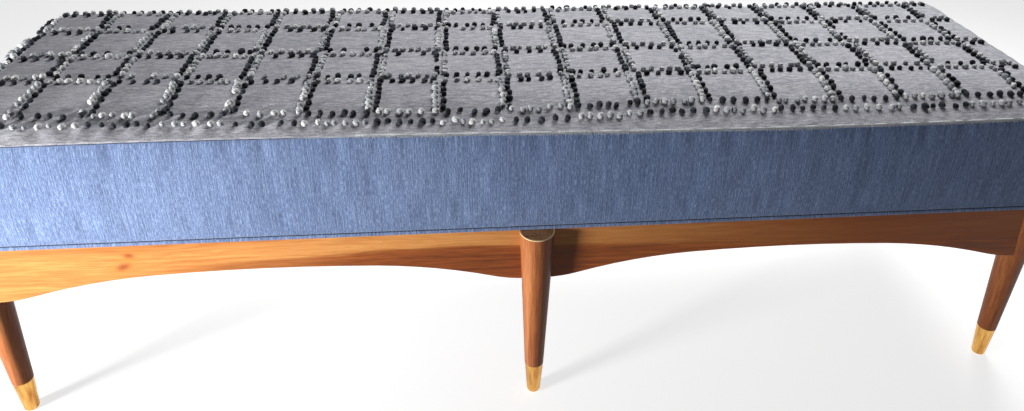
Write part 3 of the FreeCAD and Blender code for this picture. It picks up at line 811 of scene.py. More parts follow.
def repeated(faces: Array, count: int, size: int) -> Array:
    """Repeats the faces of one small body for a count of bodies with size points each."""
    return (faces[None] + (np.arange(count) * size)[:, None, None]).reshape(-1, faces.shape[-1])


def carry_value(item: bpy.types.Object, name: str, values: Array) -> None:
    """Gives every point of a piece a value that its material reads."""
    own = item.data.attributes.new(name, "FLOAT", "POINT")
    own.data.foreach_set("value", values.astype(np.float32))


def flat_map(face: Array) -> Array:
    """Gives a closing face an empty map."""
    return np.zeros(face.shape + (2,))


@dataclass(frozen=True)
class Rim:
    """A rounded rectangle seen from above, walked anticlockwise from the middle of the front."""

    half_x: float
    half_y: float
    radius: float

    @property
    def straight_x(self) -> float:
        """Half of its straight front."""
        return self.half_x - self.radius

    @property
    def straight_y(self) -> float:
        """Half of its straight end."""
        return self.half_y - self.radius

    def around(self) -> float:
        """Its whole length."""
        return 4 * (self.straight_x + self.straight_y) + 2 * math.pi * self.radius

    def walk(self, way: Array) -> tuple[Array, Array]:
        """Finds places on the rim.

        A straight stretch runs on at its heading; a corner turns a quarter circle, so its place is
        the start plus the radius times the change of (sine, minus cosine) of the heading.

        Args:
            way: Distances from the middle of the front.

        Returns:
            The places and the outward normals, (n, 2) each.
        """
        arc = math.pi / 2 * self.radius
        x, y, r = self.straight_x, self.straight_y, self.radius
        lengths = np.array([x, arc, 2 * y, arc, 2 * x, arc, 2 * y, arc, x])
        starts = np.array([
            (0, -self.half_y), (x, -self.half_y), (self.half_x, -y), (self.half_x, y),
            (x, self.half_y), (-x, self.half_y), (-self.half_x, y), (-self.half_x, -y),
            (-x, -self.half_y),
        ])
        headings = np.array([0, 0, 1, 1, 2, 2, 3, 3, 4]) * math.pi / 2
        bends = np.array([0, 1, 0, 1, 0, 1, 0, 1, 0])
        ends = np.cumsum(lengths)
        way = np.mod(way, ends[-1])
        part = np.minimum(np.searchsorted(ends, way, side="right"), len(ends) - 1)
        on = way - (ends[part] - lengths[part])
        first = headings[part]
        last = first + bends[part] * on / r
        straight = np.stack([np.cos(first), np.sin(first)], -1) * on[:, None]
        curved = r * np.stack([np.sin(last) - np.sin(first), np.cos(first) - np.cos(last)], -1)
        places = starts[part] + np.where(bends[part][:, None] > 0, curved, straight)
        return places, np.stack([np.sin(last), -np.cos(last)], -1)

    def carry(self, way: Array, outwards: Array, heights: Array) -> Array:
        """Carries a profile along the rim.

        Each point is the rim's place plus its normal times the profile's reach, at its height.

        Args:
            way: Distances along the rim, (n,).
            outwards: The profile's reach beyond the rim, (n, k) or (k,).
            heights: The profile's heights, (n, k) or (k,).

        Returns:
            The points, (n, k, 3).
        """
        places, normals = self.walk(way)
        outwards = np.broadcast_to(outwards, (len(way), np.shape(outwards)[-1]))
        heights = np.broadcast_to(heights, outwards.shape)
        flat = places[:, None] + normals[:, None] * outwards[..., None]
        return np.concatenate([flat, heights[..., None]], -1)


def profile_length(outwards: Array, heights: Array) -> Array:
    """Measures a closed profile from its first point, once round.

    Args:
        outwards: Its reach, (k,).
        heights: Its heights, (k,).

    Returns:
        The distances, (k + 1,).
    """
    out = np.append(outwards, outwards[0])
    high = np.append(heights, heights[0])
    return np.concatenate(([0.0], np.cumsum(np.hypot(np.diff(out), np.diff(high)))))


def waves(spots: Array, seed: int, longest: float, count: int = 7, shorter: float = 0.66,
          lower: float = 0.75, gain: float = 1.6) -> Array:
    """Adds sines of random phase, each shorter and lower than the last: an uneven hand-made line.

    Args:
        spots: Distances.
        seed: Seed of the phases.
        longest: Wavelength of the first sine, in metres.
        count: How many sines.
        shorter: Each wavelength as a share of the one before.
        lower: Each height as a share of the one before.
        gain: Factor on the mean of the sines.

    Returns:
        A value of about -1 to 1 at each distance.
    """
    draw = np.random.default_rng(seed)
    phases = draw.uniform(0, 2 * math.pi, count)
    lengths = longest * shorter ** np.arange(count) * draw.uniform(0.85, 1.15, count)
    weights = lower ** np.arange(count)
    sines = np.sin(spots[..., None] * 2 * math.pi / lengths + phases) * weights
    return sines.sum(-1) / weights.sum() * gain


def blend_grid(values: Array, rows: Array, cols: Array, round_rows: bool = False) -> Array:
    """Reads a coarse grid between its points with smooth weights.

    Along each way the four nearest points count with the cubic weights of their distance, which
    pass through every point and keep the slope even.

    Args:
        values: The grid, (n, m).
        rows: Places along its rows, in steps of the grid.
        cols: Places along its columns, in steps of the grid.
        round_rows: Whether the last row is followed by the first.

    Returns:
        The value at each place.
    """
    def weights(t: Array) -> list[Array]:
        """Gives the weights of the four nearest points at share t between the middle two."""
        return [(-t ** 3 + 2 * t ** 2 - t) / 2, (3 * t ** 3 - 5 * t ** 2 + 2) / 2,
                (-3 * t ** 3 + 4 * t ** 2 + t) / 2, (t ** 3 - t ** 2) / 2]

    n, m = values.shape
    i, j = np.floor(rows).astype(int), np.floor(cols).astype(int)
    total = np.zeros(np.broadcast(rows, cols).shape)
    for a, weight_a in enumerate(weights(rows - i)):
        row = (i + a - 1) % n if round_rows else np.clip(i + a - 1, 0, n - 1)
        for b, weight_b in enumerate(weights(cols - j)):
            total = total + weight_a * weight_b * values[row, np.clip(j + b - 1, 0, m - 1)]
    return total


@dataclass(frozen=True)
class Swell:
    """How far the filled cover stands off its plain form, on coarse grids."""

    half_x: float
    half_y: float
    above: Array
    beside: Array
    low: float
    high: float
    around: float

    def rise(self, x: Array, y: Array) -> Array:
        """Gives the upward move of the top at each place.

        Args:
            x: Places along the bench.
            y: Places from front to back.

        Returns:
            The moves, in the same shape.
        """
        n, m = self.above.shape
        rows = (x + self.half_x) / (2 * self.half_x) * (n - 1)
        cols = (y + self.half_y) / (2 * self.half_y) * (m - 1)
        return blend_grid(self.above, rows, cols)

    def reach(self, way: Array, height: Array) -> Array:
        """Gives the outward move of the sides at each place on the rim and each height.

        Args:
            way: Distances along the rim.
            height: Heights above the floor.

        Returns:
            The moves, in the same shape.
        """
        n, m = self.beside.shape
        rows = np.mod(way, self.around) / self.around * n
        cols = (self.high - height) / (self.high - self.low) * (m - 1)
        return blend_grid(self.beside, rows, cols, True)


@dataclass(frozen=True)
class PadTrial:
    """A run of the cloth solver on a coarse copy of the filled seat cover."""

    rim: Rim
    seam: float
    low: float
    crown: float
    run: float
    step: float = 13 * MM
    side_rows: int = 12
    frames: int = 20
    pressure: float = 4.0
    cap: float = 4.5 * MM
    quality: int = 6
    mass: float = 0.25
    stretch_stiffness: float = 22.0
    shear_stiffness: float = 8.0
    bending_stiffness: float = 0.4
    growth: float = 0.012

    def envelope(self) -> tuple[Array, Array, Array]:
        """Builds the plain closed form: a low crown, straight sides and a flat bottom.

        The top is a grid whose outer points lie on the rounded rim; its height is the crown times
        the product of 1 - (1 - distance / run) squared along both ways. The sides are the rim
        carried down in even rows.

        Returns:
            Places of the top, (n, m, 3), of the sides, (k, rows, 3), and the k ways on the rim.
        """
        n = round(2 * self.rim.half_x / self.step) + 1
        m = round(2 * self.rim.half_y / self.step) + 1
        x, y = np.meshgrid(np.linspace(-1, 1, n) * self.rim.half_x,
                           np.linspace(-1, 1, m) * self.rim.half_y, indexing="ij")
        inside_x = np.clip((self.rim.half_x - np.abs(x)) / self.run, 0, 1)
        inside_y = np.clip((self.rim.half_y - np.abs(y)) / self.run, 0, 1)
        rise = (1 - (1 - inside_x) ** 2) * (1 - (1 - inside_y) ** 2)
        top = np.stack([x, y, self.seam + self.crown * rise], -1)
        count = 2 * (n + m - 2)
        ways = np.arange(count) * self.rim.around() / count
        heights = np.linspace(self.seam, self.low, self.side_rows + 1)[1:]
        return top, self.rim.carry(ways, np.zeros(self.side_rows), heights), ways

    def run_cloth(self, item: bpy.types.Object) -> Array:
        """Blows the cover up in the cloth solver, with its seams held.

        Args:
            item: The closed cover, with its held points in the group "held".

        Returns:
            The points of the last frame.
        """
        cover = item.modifiers.new("swell", "CLOTH")
        cloth = cover.settings
        cloth.quality = self.quality
        cloth.mass = self.mass
        cloth.tension_stiffness = cloth.compression_stiffness = self.stretch_stiffness
        cloth.shear_stiffness = self.shear_stiffness
        cloth.bending_stiffness = self.bending_stiffness
        cloth.use_pressure = True
        cloth.uniform_pressure_force = self.pressure
        cloth.effector_weights.gravity = 0.0
        cloth.vertex_group_mass = "held"
        cloth.shrink_min = -self.growth
        cover.collision_settings.use_collision = False
        cover.point_cache.frame_start = 1
        cover.point_cache.frame_end = self.frames
        scene = bpy.context.scene
        for number in range(1, self.frames + 1):
            scene.frame_set(number)
        shape = item.evaluated_get(bpy.context.evaluated_depsgraph_get()).data
        flat = np.empty(len(shape.vertices) * 3, np.float32)
        shape.vertices.foreach_get("co", flat)
        return flat.reshape(-1, 3).astype(float)

    def soften(self, move: Array) -> Array:
        """Keeps each move below the cap: a move d becomes d * cap / (cap + |d|)."""
        return move * self.cap / (self.cap + np.abs(move))

    def work_out(self) -> Swell:
        """Runs the trial and reads how far the top rose and the sides bulged.

        Returns:
            The moves on their coarse grids.
        """
        top, sides, ways = self.envelope()
        n, m = top.shape[:2]
        count = len(ways)
        rim_top = self.rim.carry(ways, np.zeros(1), np.array([self.seam]))
        loop = outer_loop(np.arange(n * m).reshape(n, m))
        flat_top = top.reshape(-1, 3)
        away = np.hypot(*(rim_top[:, 0, :2] - flat_top[loop[0], :2]).T)
        loop = np.roll(loop, int(np.argmin(away)))
        flat_top[loop] = rim_top[:, 0]
        points = np.concatenate([flat_top, sides.reshape(-1, 3)])
        crown_faces, crown_map = quilt(n, m, np.zeros((n, m, 2)))
        table = np.concatenate(
            [loop[:, None], n * m + np.arange(sides[..., 0].size).reshape(count, -1)], 1)
        wall = skirt(table)
        under = table[::-1, -1][None]
        item = assemble("swell_trial", points, [crown_faces, wall, under],
                        [crown_map, flat_map(wall), flat_map(under)])
        held = item.vertex_groups.new(name="held")
        held.add(np.concatenate([loop, table[:, -1], table[:, -2]]).tolist(), 1.0, "REPLACE")
        moved = self.run_cloth(item)
        shift = moved - points
        normals = self.rim.walk(ways)[1]
        rise = self.soften(shift[: n * m, 2].reshape(n, m))
        side_shift = shift[table].reshape(count, -1, 3)
        reach = self.soften((side_shift[..., :2] * normals[:, None]).sum(-1))
        bpy.data.objects.remove(item)
        bpy.context.scene.frame_set(1)
        log.info("swell: top %.1f mm, sides %.1f mm", rise.max() / MM, reach.max() / MM)
        return Swell(self.rim.half_x, self.rim.half_y, rise, reach, self.low, self.seam,
                     self.rim.around())


@dataclass(frozen=True)
class SeamLine:
    """The seam between the top and the boxing: where it runs and how much shows in it."""

    rim: Rim
    height: float
    sway: float = 3.8 * MM
    wave: float = 1560 * MM
    crossing: float = -40 * MM
    hidden_to: float = -330 * MM
    ease: float = 110 * MM
    turn: float = 20 * MM
    elsewhere: tuple[float, float] = (0.75, 0.5)
    least: float = 0.15

    def drift(self, x: Array) -> Array:
        """Gives how far the seam lies off its mean height: one long sine along the bench."""
        return -self.sway * np.sin(2 * math.pi * (x - self.crossing) / self.wave)

    def level(self, way: Array) -> Array:
        """Gives the seam's height at distances along the rim."""
        return self.height + self.drift(self.rim.walk(way)[0][:, 0])

    def stand(self, x: Array, y: Array) -> Array:
        """Tells how far the frayed edge stands out of the seam.

        It lies hidden from the left corner of the front to a quarter of the way along, stands
        out over the rest of the front, and comes and goes as uneven waves elsewhere.

        Args:
            x: Places along X.
            y: Places along Y.

        Returns:
            0, hidden, to 1, standing out.
        """
        front = np.clip((x - self.hidden_to) / self.ease, 0, 1)
        mean, swing = self.elsewhere
        other = mean + swing * waves(x + 1.7 * y, seed=73, longest=0.5)
        other = np.clip(other, self.least, 1)
        share = np.clip((-y - self.rim.straight_y + self.turn) / self.turn, 0, 1)
        return front * share + other * (1 - share)


@dataclass(frozen=True)
class SeatTop:
    """The crowned top fabric of the seat, with the lines of its embroidered grid.

    The places of the lines are in millimetres; those of a row are given at the marks along X.
    """

    seam: SeamLine
    crown: float = 22 * MM
    run_front: float = 112 * MM
    run_back: float = 62 * MM
    run_end: float = 30 * MM
    power_front: float = 2.3
    power: float = 3.0
    end_bulge: float = 5.5 * MM
    bulge_power: float = 0.6
    columns: tuple[float, ...] = (
        -744, -656, -568, -479, -394, -303, -215, -128, -40, 49, 143, 233, 325, 416, 507, 598, 690)
    row_marks: tuple[float, ...] = (-650, -350, -60, 200, 450, 690)
    rows: tuple[tuple[float, ...], ...] = (
        (-179, -185, -189, -177, -181, -182), (-76, -91, -101, -89, -89, -93),
        (3, -4, -6, 0, 2, -1), (100, 97, 90, 103, 95, 95), (178, 179, 168, 178, 175, 172))
    sim_share: float = 0.84
    dip: float = 0.5 * MM
    column_width: float = 11 * MM
    row_width: float = 13 * MM
    column_stop: float = 30 * MM
    column_fade: float = 12 * MM
    puff: float = 0.5 * MM
    gather: float = 0.45 * MM
    gather_reach: float = 5 * MM
    mesh_along: float = 5.2 * MM
    mesh_across: float = 4.6 * MM
    mesh_edge: tuple[float, ...] = (0, 0.5, 1.2, 2.0, 3.0, 4.4, 6.4, 9.2, 12.8, 17.2)
    roll_over: tuple[tuple[float, float], ...] = (
        (0.9, -0.4), (1.4, -1.2), (1.2, -2.1), (0.2, -2.6), (-2.6, -2.4))
    roll_above: tuple[tuple[float, float], ...] = (
        (0.3, -0.2), (0.4, -0.6), (0.2, -0.9), (-0.5, -0.7), (-2.2, -0.6))
    swell: Swell | None = None

    @property
    def rim(self) -> Rim:
        """The rounded rectangle that the seam runs round."""
        return self.seam.rim

    def column_places(self) -> Array:
        """Places of the grid's columns along X."""
        return np.array(self.columns) * MM

    def row_places(self, x: Array) -> Array:
        """Gives the places of the rows along Y, on one more axis; they bend along the bench."""
        marks = np.array(self.row_marks) * MM
        return np.stack([np.interp(x, marks, np.array(row) * MM) for row in self.rows], -1)

    def lift(self, x: Array, y: Array) -> Array:
        """Gives the height of the fabric above the seam's mean height.

        The crown is the product of one rounding along X and one along Y, each
        1 - (1 - distance / run) ** power, with a run of its own for the front, the back and the
        ends, and a softer power at the front. Along every embroidered line the fabric dips a
        little, as a bell curve of the distance to the line. The seam's drift dies away as the
        crown rises.

        Args:
            x: Places along X.
            y: Places along Y.

        Returns:
            The heights.
        """
        def rounding(inside: Array, run: Array | float, power: Array | float) -> Array:
            """Rises from 0 at the seam to 1 one run inside it."""
            return 1 - (1 - np.clip(inside / run, 0, 1)) ** power

        inside_x = self.rim.half_x - np.abs(x)
        inside_y = self.rim.half_y - np.abs(y)
        edge = rounding(inside_x, self.run_end, self.power)
        edge = edge * rounding(inside_y, np.where(y < 0, self.run_front, self.run_back),
                               np.where(y < 0, self.power_front, self.power))
        crown = self.crown * edge
        if self.swell is not None:
            crown = self.sim_share * crown + self.swell.rise(x, y)
        over = np.abs(x[..., None] - self.column_places()).min(-1)
        along = np.abs(y[..., None] - self.row_places(x)).min(-1)
        between = np.clip((inside_y - self.column_stop) / self.column_fade, 0, 1)
        pull = np.maximum(np.exp(-(over / self.column_width) ** 2) * between,
                          np.exp(-(along / self.row_width) ** 2))
        puff = self.puff * waves(x + 0.3 * y, seed=5, longest=0.4) * edge
        drift = self.seam.drift(x) * (1 - edge)
        return crown + drift - self.dip * pull * np.sqrt(edge) + puff + self.pucker(x, y)

    def pucker(self, x: Array, y: Array) -> Array:
        """Gives the small gathers along the seams.

        Along each seam an uneven line of short waves runs square to it; its height rises over
        the first millimetres from the seam and dies away over the next centimetres.

        Args:
            x: Places along X.
            y: Places along Y.

        Returns:
            The heights.
        """
        def gathers(inside: Array, way: Array, seed: int) -> Array:
            """Waves along one seam, by the distance inside it."""
            far = np.clip(inside, 0, None) / self.gather_reach
            return self.gather * far * np.exp(1 - far) * waves(way, seed, longest=0.075, count=5)

        inside_y = self.rim.half_y - np.abs(y)
        along_x = gathers(inside_y, x + 0.5 * inside_y, seed=6)
        return along_x + gathers(self.rim.half_x - np.abs(x), y, seed=7)

    def bulge(self, x: Array, z: Array) -> Array:
        """Gives how far the fabric stands out over the ends' seams.

        It is the bulge times a half sine of a power of the height's share of the crown, so that
        it is widest about a third of the way up, and it dies away over twice the end's run.

        Args:
            x: Places along X.
            z: Heights above the seam's mean height.

        Returns:
            The moves along X, away from the middle.
        """
        near = np.clip(1 - (self.rim.half_x - np.abs(x)) / (2 * self.run_end), 0, 1)
        share = np.clip(z / self.crown, 0, 1)
        swell = np.sin(math.pi * share ** self.bulge_power)
        return np.sign(x) * self.end_bulge * near ** 2 * swell

    def spread(self, half: float, step: float) -> Array:
        """Spaces grid lines from one seam to the other, closer near the seams.

        Args:
            half: Half the size.
            step: Spacing in the middle.

        Returns:
            The places of the lines.
        """
        near = np.array(self.mesh_edge) * MM
        inner = half - near[-1]
        middle = np.linspace(-inner, inner, round(2 * inner / step) + 1)
        return np.concatenate([-half + near[:-1], middle, half - near[:-1][::-1]])

    def tuck_corners(self, x: Array, y: Array) -> tuple[Array, Array]:
        """Moves the square corners of the grid onto the rounded ones.

        Inside each corner square, with a and b its shares along X and Y, a becomes
        a * sqrt(1 - b * b / 2) and b becomes b * sqrt(1 - a * a / 2), which turns the square into
        a quarter disc and leaves its inner sides where they are.

        Args:
            x: Places along X.
            y: Places along Y.

        Returns:
            The moved places.
        """
        r = self.rim.radius
        a = np.clip((np.abs(x) - self.rim.straight_x) / r, 0, 1)
        b = np.clip((np.abs(y) - self.rim.straight_y) / r, 0, 1)
        both = (a > 0) & (b > 0)
        new_x = np.where(both, self.rim.straight_x + r * a * np.sqrt(1 - b * b / 2), np.abs(x))
        new_y = np.where(both, self.rim.straight_y + r * b * np.sqrt(1 - a * a / 2), np.abs(y))
        return np.sign(x) * new_x, np.sign(y) * new_y

    def edge_roll(self, edge: Array) -> Array:
        """Gives the small roll of the fabric over the seam, by how much shows in the seam.

        Where the frayed edge is hidden the fabric bulges out and down over the seam; where it
        stands out the fabric turns in above it. Between the two the steps are mixed by share.

        Args:
            edge: Points of the top's edge, (n, 3).

        Returns:
            Outward and upward steps from the edge, (n, 5, 2).
        """
        share = self.seam.stand(edge[:, 0], edge[:, 1])[:, None, None]
        over, above = np.array(self.roll_over) * MM, np.array(self.roll_above) * MM
        return over * (1 - share) + above * share

    def build(self, cloth: bpy.types.Material) -> bpy.types.Object:
        """Builds the crowned sheet with its edge rolled under at the seam.

        Args:
            cloth: Its finish.

        Returns:
            The piece.
        """
        lines_x = self.spread(self.rim.half_x, self.mesh_along)
        lines_y = self.spread(self.rim.half_y, self.mesh_across)
        x, y = np.meshgrid(lines_x, lines_y, indexing="ij")
        lift = self.lift(x, y)
        z = self.seam.height + lift
        tucked_x, tucked_y = self.tuck_corners(x, y)
        tucked_x = tucked_x + self.bulge(x, lift)
        rows, cols = x.shape
        points = np.stack([tucked_x, tucked_y, z], -1).reshape(-1, 3)
        faces, maps = quilt(rows, cols, np.stack([x, y], -1))
        loop = outer_loop(np.arange(rows * cols).reshape(rows, cols))
        edge = points[loop]
        before, after = np.roll(edge, 1, 0), np.roll(edge, -1, 0)
        along = (after - before)[:, :2]
        out = np.stack([along[:, 1], -along[:, 0]], -1)
        out /= np.linalg.norm(out, axis=1)[:, None]
        steps = self.edge_roll(edge)
        ring = np.repeat(edge[:, None, :], steps.shape[1], axis=1)
        ring[..., :2] += out[:, None] * steps[..., :1]
        ring[..., 2] += steps[..., 1]
        own = rows * cols + np.arange(steps[..., 0].size).reshape(len(loop), -1)
        table = np.concatenate([loop[:, None], own], 1)
        roll = skirt(table)
        flat = np.concatenate([points, ring.reshape(-1, 3)])
        roll_map = flat[roll][..., :2]
        under = table[::-1, -1][None]
        item = assemble("top_fabric", flat, [faces, roll[:, ::-1], under],
                        [maps, roll_map[:, ::-1], flat_map(under)])
        show(item, cloth)
        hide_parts("top_cover", "wadding_layer", "foam_core")
        return item


@dataclass(frozen=True)
class KnotGrid:
    """The double rows of embroidered knots: one line light, one dark, swapped at each cell.

    The pitches are ranges; the size and the squash of a knot are shares of its plain form. A
    knot's map climbs as it goes round, so that the yarn's coils wind up the knot.
    """

    top: SeatTop
    row_gaps: tuple[float, ...] = (18 * MM, 15 * MM, 14.5 * MM, 14.5 * MM, 14 * MM)
    column_gap: float = 10.6 * MM
    gap_spread: float = 1.4 * MM
    clear_of_row: float = 10.5 * MM
    tail: float = 44.0 * MM
    radius: dict[Tone, float] = field(default_factory=lambda: {
        Tone.LIGHT: 4.2 * MM, Tone.DARK: 4.1 * MM})
    height: dict[Tone, float] = field(default_factory=lambda: {
        Tone.LIGHT: 3.6 * MM, Tone.DARK: 3.4 * MM})
    row_pitch: dict[Tone, tuple[float, float]] = field(default_factory=lambda: {
        Tone.LIGHT: (12.6 * MM, 14.8 * MM), Tone.DARK: (14.4 * MM, 18.4 * MM)})
    column_pitch: dict[Tone, tuple[float, float]] = field(default_factory=lambda: {
        Tone.LIGHT: (10.4 * MM, 12.2 * MM), Tone.DARK: (12.2 * MM, 15.4 * MM)})
    sides: int = 10
    rings: int = 6
    uneven: float = 0.16
    stray: float = 0.7 * MM
    missing: float = 0.02
    foot: float = -0.62
    head: float = 0.86
    rise: float = 0.72
    fullness: float = 0.8
    ridge: float = 0.06
    turns: float = 2.0
    size_spread: float = 0.1
    size_range: tuple[float, float] = (0.75, 1.25)
    squash_range: tuple[float, float] = (0.82, 1.12)
    slope_step: float = 4 * MM
    shade_middling: float = 2.2
    map_climb: float = 2.5
    cap_map: float = 0.9
    gap_seed: int = 10
    place_seeds: dict[Tone, int] = field(default_factory=lambda: {
        Tone.LIGHT: 11, Tone.DARK: 12})
    shape_seeds: dict[Tone, int] = field(default_factory=lambda: {
        Tone.LIGHT: 21, Tone.DARK: 22})

    def stretches(self) -> list[tuple[Tone, Array, Array, dict]]:
        """Lists every stretch of knots with its yarn, start, end and the pitches it is sewn at.

        In an even cell of a row the back line is light, in an odd one the front line. In an even
        cell of a column the left line is light, in an odd one the right line.

        Returns:
            Yarn, start, end and pitches of each stretch.
        """
        draw = np.random.default_rng(self.gap_seed)
        columns = self.top.column_places()
        stops = np.append(columns, columns[-1] + self.tail)
        found = []
        for row, gap in enumerate(self.row_gaps):
            places = self.top.row_places(stops)[:, row]
            for cell in range(len(stops) - 1):
                for side in (1, -1):
                    tone = Tone.LIGHT if (side > 0) == (cell % 2 == 0) else Tone.DARK
                    start = np.array([stops[cell], places[cell] + side * gap / 2])
                    end = np.array([stops[cell + 1], places[cell + 1] + side * gap / 2])
                    found.append((tone, start, end, self.row_pitch))
        for x in columns:
            places = self.top.row_places(x)
            gap = self.column_gap + draw.uniform(-self.gap_spread, self.gap_spread)
            for cell, (low, high) in enumerate(zip(places[:-1], places[1:])):
                for side in (-1, 1):
                    tone = Tone.LIGHT if (side < 0) == (cell % 2 == 0) else Tone.DARK
                    start = np.array([x + side * gap / 2, low + self.clear_of_row])
                    end = np.array([x + side * gap / 2, high - self.clear_of_row])
                    found.append((tone, start, end, self.column_pitch))
        return found

    def scatter(self, tone: Tone) -> Array:
        """Spaces the knots of one yarn evenly on their stretches, then lets each stray a little.

        Args:
            tone: The yarn.

        Returns:
            The knots' places, (n, 2).
        """
        draw = np.random.default_rng(self.place_seeds[tone])
        spots = []
        for yarn, start, end, pitches in self.stretches():
            if yarn is not tone:
                continue
            pitch = draw.uniform(*pitches[tone])
            count = max(1, round(float(np.linalg.norm(end - start)) / pitch))
            off = draw.uniform(-self.uneven, self.uneven, count)
            share = (np.arange(count) + 0.5 + off) / count
            line = start + (end - start) * share[:, None] + draw.normal(0, self.stray, 2)
            spots.append(line[draw.random(count) > self.missing])
        places = np.concatenate(spots)
        return places + draw.normal(0, self.stray, places.shape)

    def slopes(self, x: Array, y: Array) -> tuple[Array, Array]:
        """Gives the fabric's slope along X and along Y at each place.

        Args:
            x: Places along the bench, (n,).
            y: Places from front to back, (n,).

        Returns:
            The two slopes, (n, 1, 1).
        """
        step, lift = self.slope_step, self.top.lift
        along = (lift(x + step, y) - lift(x - step, y)) / (2 * step)
        across = (lift(x, y + step) - lift(x, y - step)) / (2 * step)
        return along[:, None, None], across[:, None, None]

    def build(self, tone: Tone, yarn: bpy.types.Material) -> bpy.types.Object:
        """Builds all knots of one yarn as one piece.

        A knot is a flattened ball that stands on the cloth: at each angle above or below its
        middle its reach is a power of the cosine and its height the sine, and a spiral ridge
        runs round it. Each is turned, squashed and tilted with the fabric in its own way.

        Args:
            tone: The yarn.
            yarn: Its finish.

        Returns:
            The piece.
        """
        places = self.scatter(tone)
        draw = np.random.default_rng(self.shape_seeds[tone])
        count = len(places)
        angle = np.linspace(0, 2 * math.pi, self.sides, endpoint=False)[:, None]
        share = np.linspace(self.foot, self.head, self.rings)[None, :]
        turn = draw.uniform(0, 2 * math.pi, count)[:, None, None]
        size = draw.normal(1.0, self.size_spread, count).clip(*self.size_range)[:, None, None]
        squash = draw.uniform(*self.squash_range, count)[:, None, None]
        ridge = 1 + self.ridge * np.sin(angle + turn + 2 * math.pi * self.turns * share)
        round_off = np.cos(share * math.pi / 2) ** self.fullness
        reach = round_off * ridge * self.radius[tone] * size
        rise = (self.rise + np.sin(share * math.pi / 2) * ridge) * self.height[tone] * size
        across = reach * np.cos(angle) * squash
        along = reach * np.sin(angle) / squash
        spin = draw.uniform(0, 2 * math.pi, count)[:, None, None]
        flat_x = across * np.cos(spin) - along * np.sin(spin)
        flat_y = across * np.sin(spin) + along * np.cos(spin)
        base = self.top.seam.height + self.top.lift(places[:, 0], places[:, 1])
        slope_x, slope_y = self.slopes(places[:, 0], places[:, 1])
        points = np.stack([
            places[:, 0, None, None] + flat_x - slope_x * rise,
            places[:, 1, None, None] + flat_y - slope_y * rise,
            base[:, None, None] + rise + slope_x * flat_x + slope_y * flat_y,
        ], -1)
        u, v = np.meshgrid(np.linspace(0, 1, self.sides + 1), np.linspace(0, 1, self.rings),
                           indexing="ij")
        uv = np.stack([self.map_climb * v + u, v], -1)
        one, one_map = quilt(self.sides, self.rings, uv, round_rows=True)
        size_of_one = self.sides * self.rings
        ring = np.arange(self.sides)[None] * self.rings
        faces = repeated(one, count, size_of_one)
        caps = repeated(ring + self.rings - 1, count, size_of_one)
        feet = repeated(ring[:, ::-1], count, size_of_one)
        maps = [np.tile(one_map, (count, 1, 1)), flat_map(caps) + self.cap_map, flat_map(feet)]
        item = assemble(f"{tone.value}_knots", points.reshape(-1, 3), [faces, caps, feet], maps)
        shade = draw.beta(self.shade_middling, self.shade_middling, count)
        carry_value(item, "shade", np.repeat(shade, size_of_one))
        show(item, yarn)
        log.info("%s: %d knots", item.name, count)
        return item


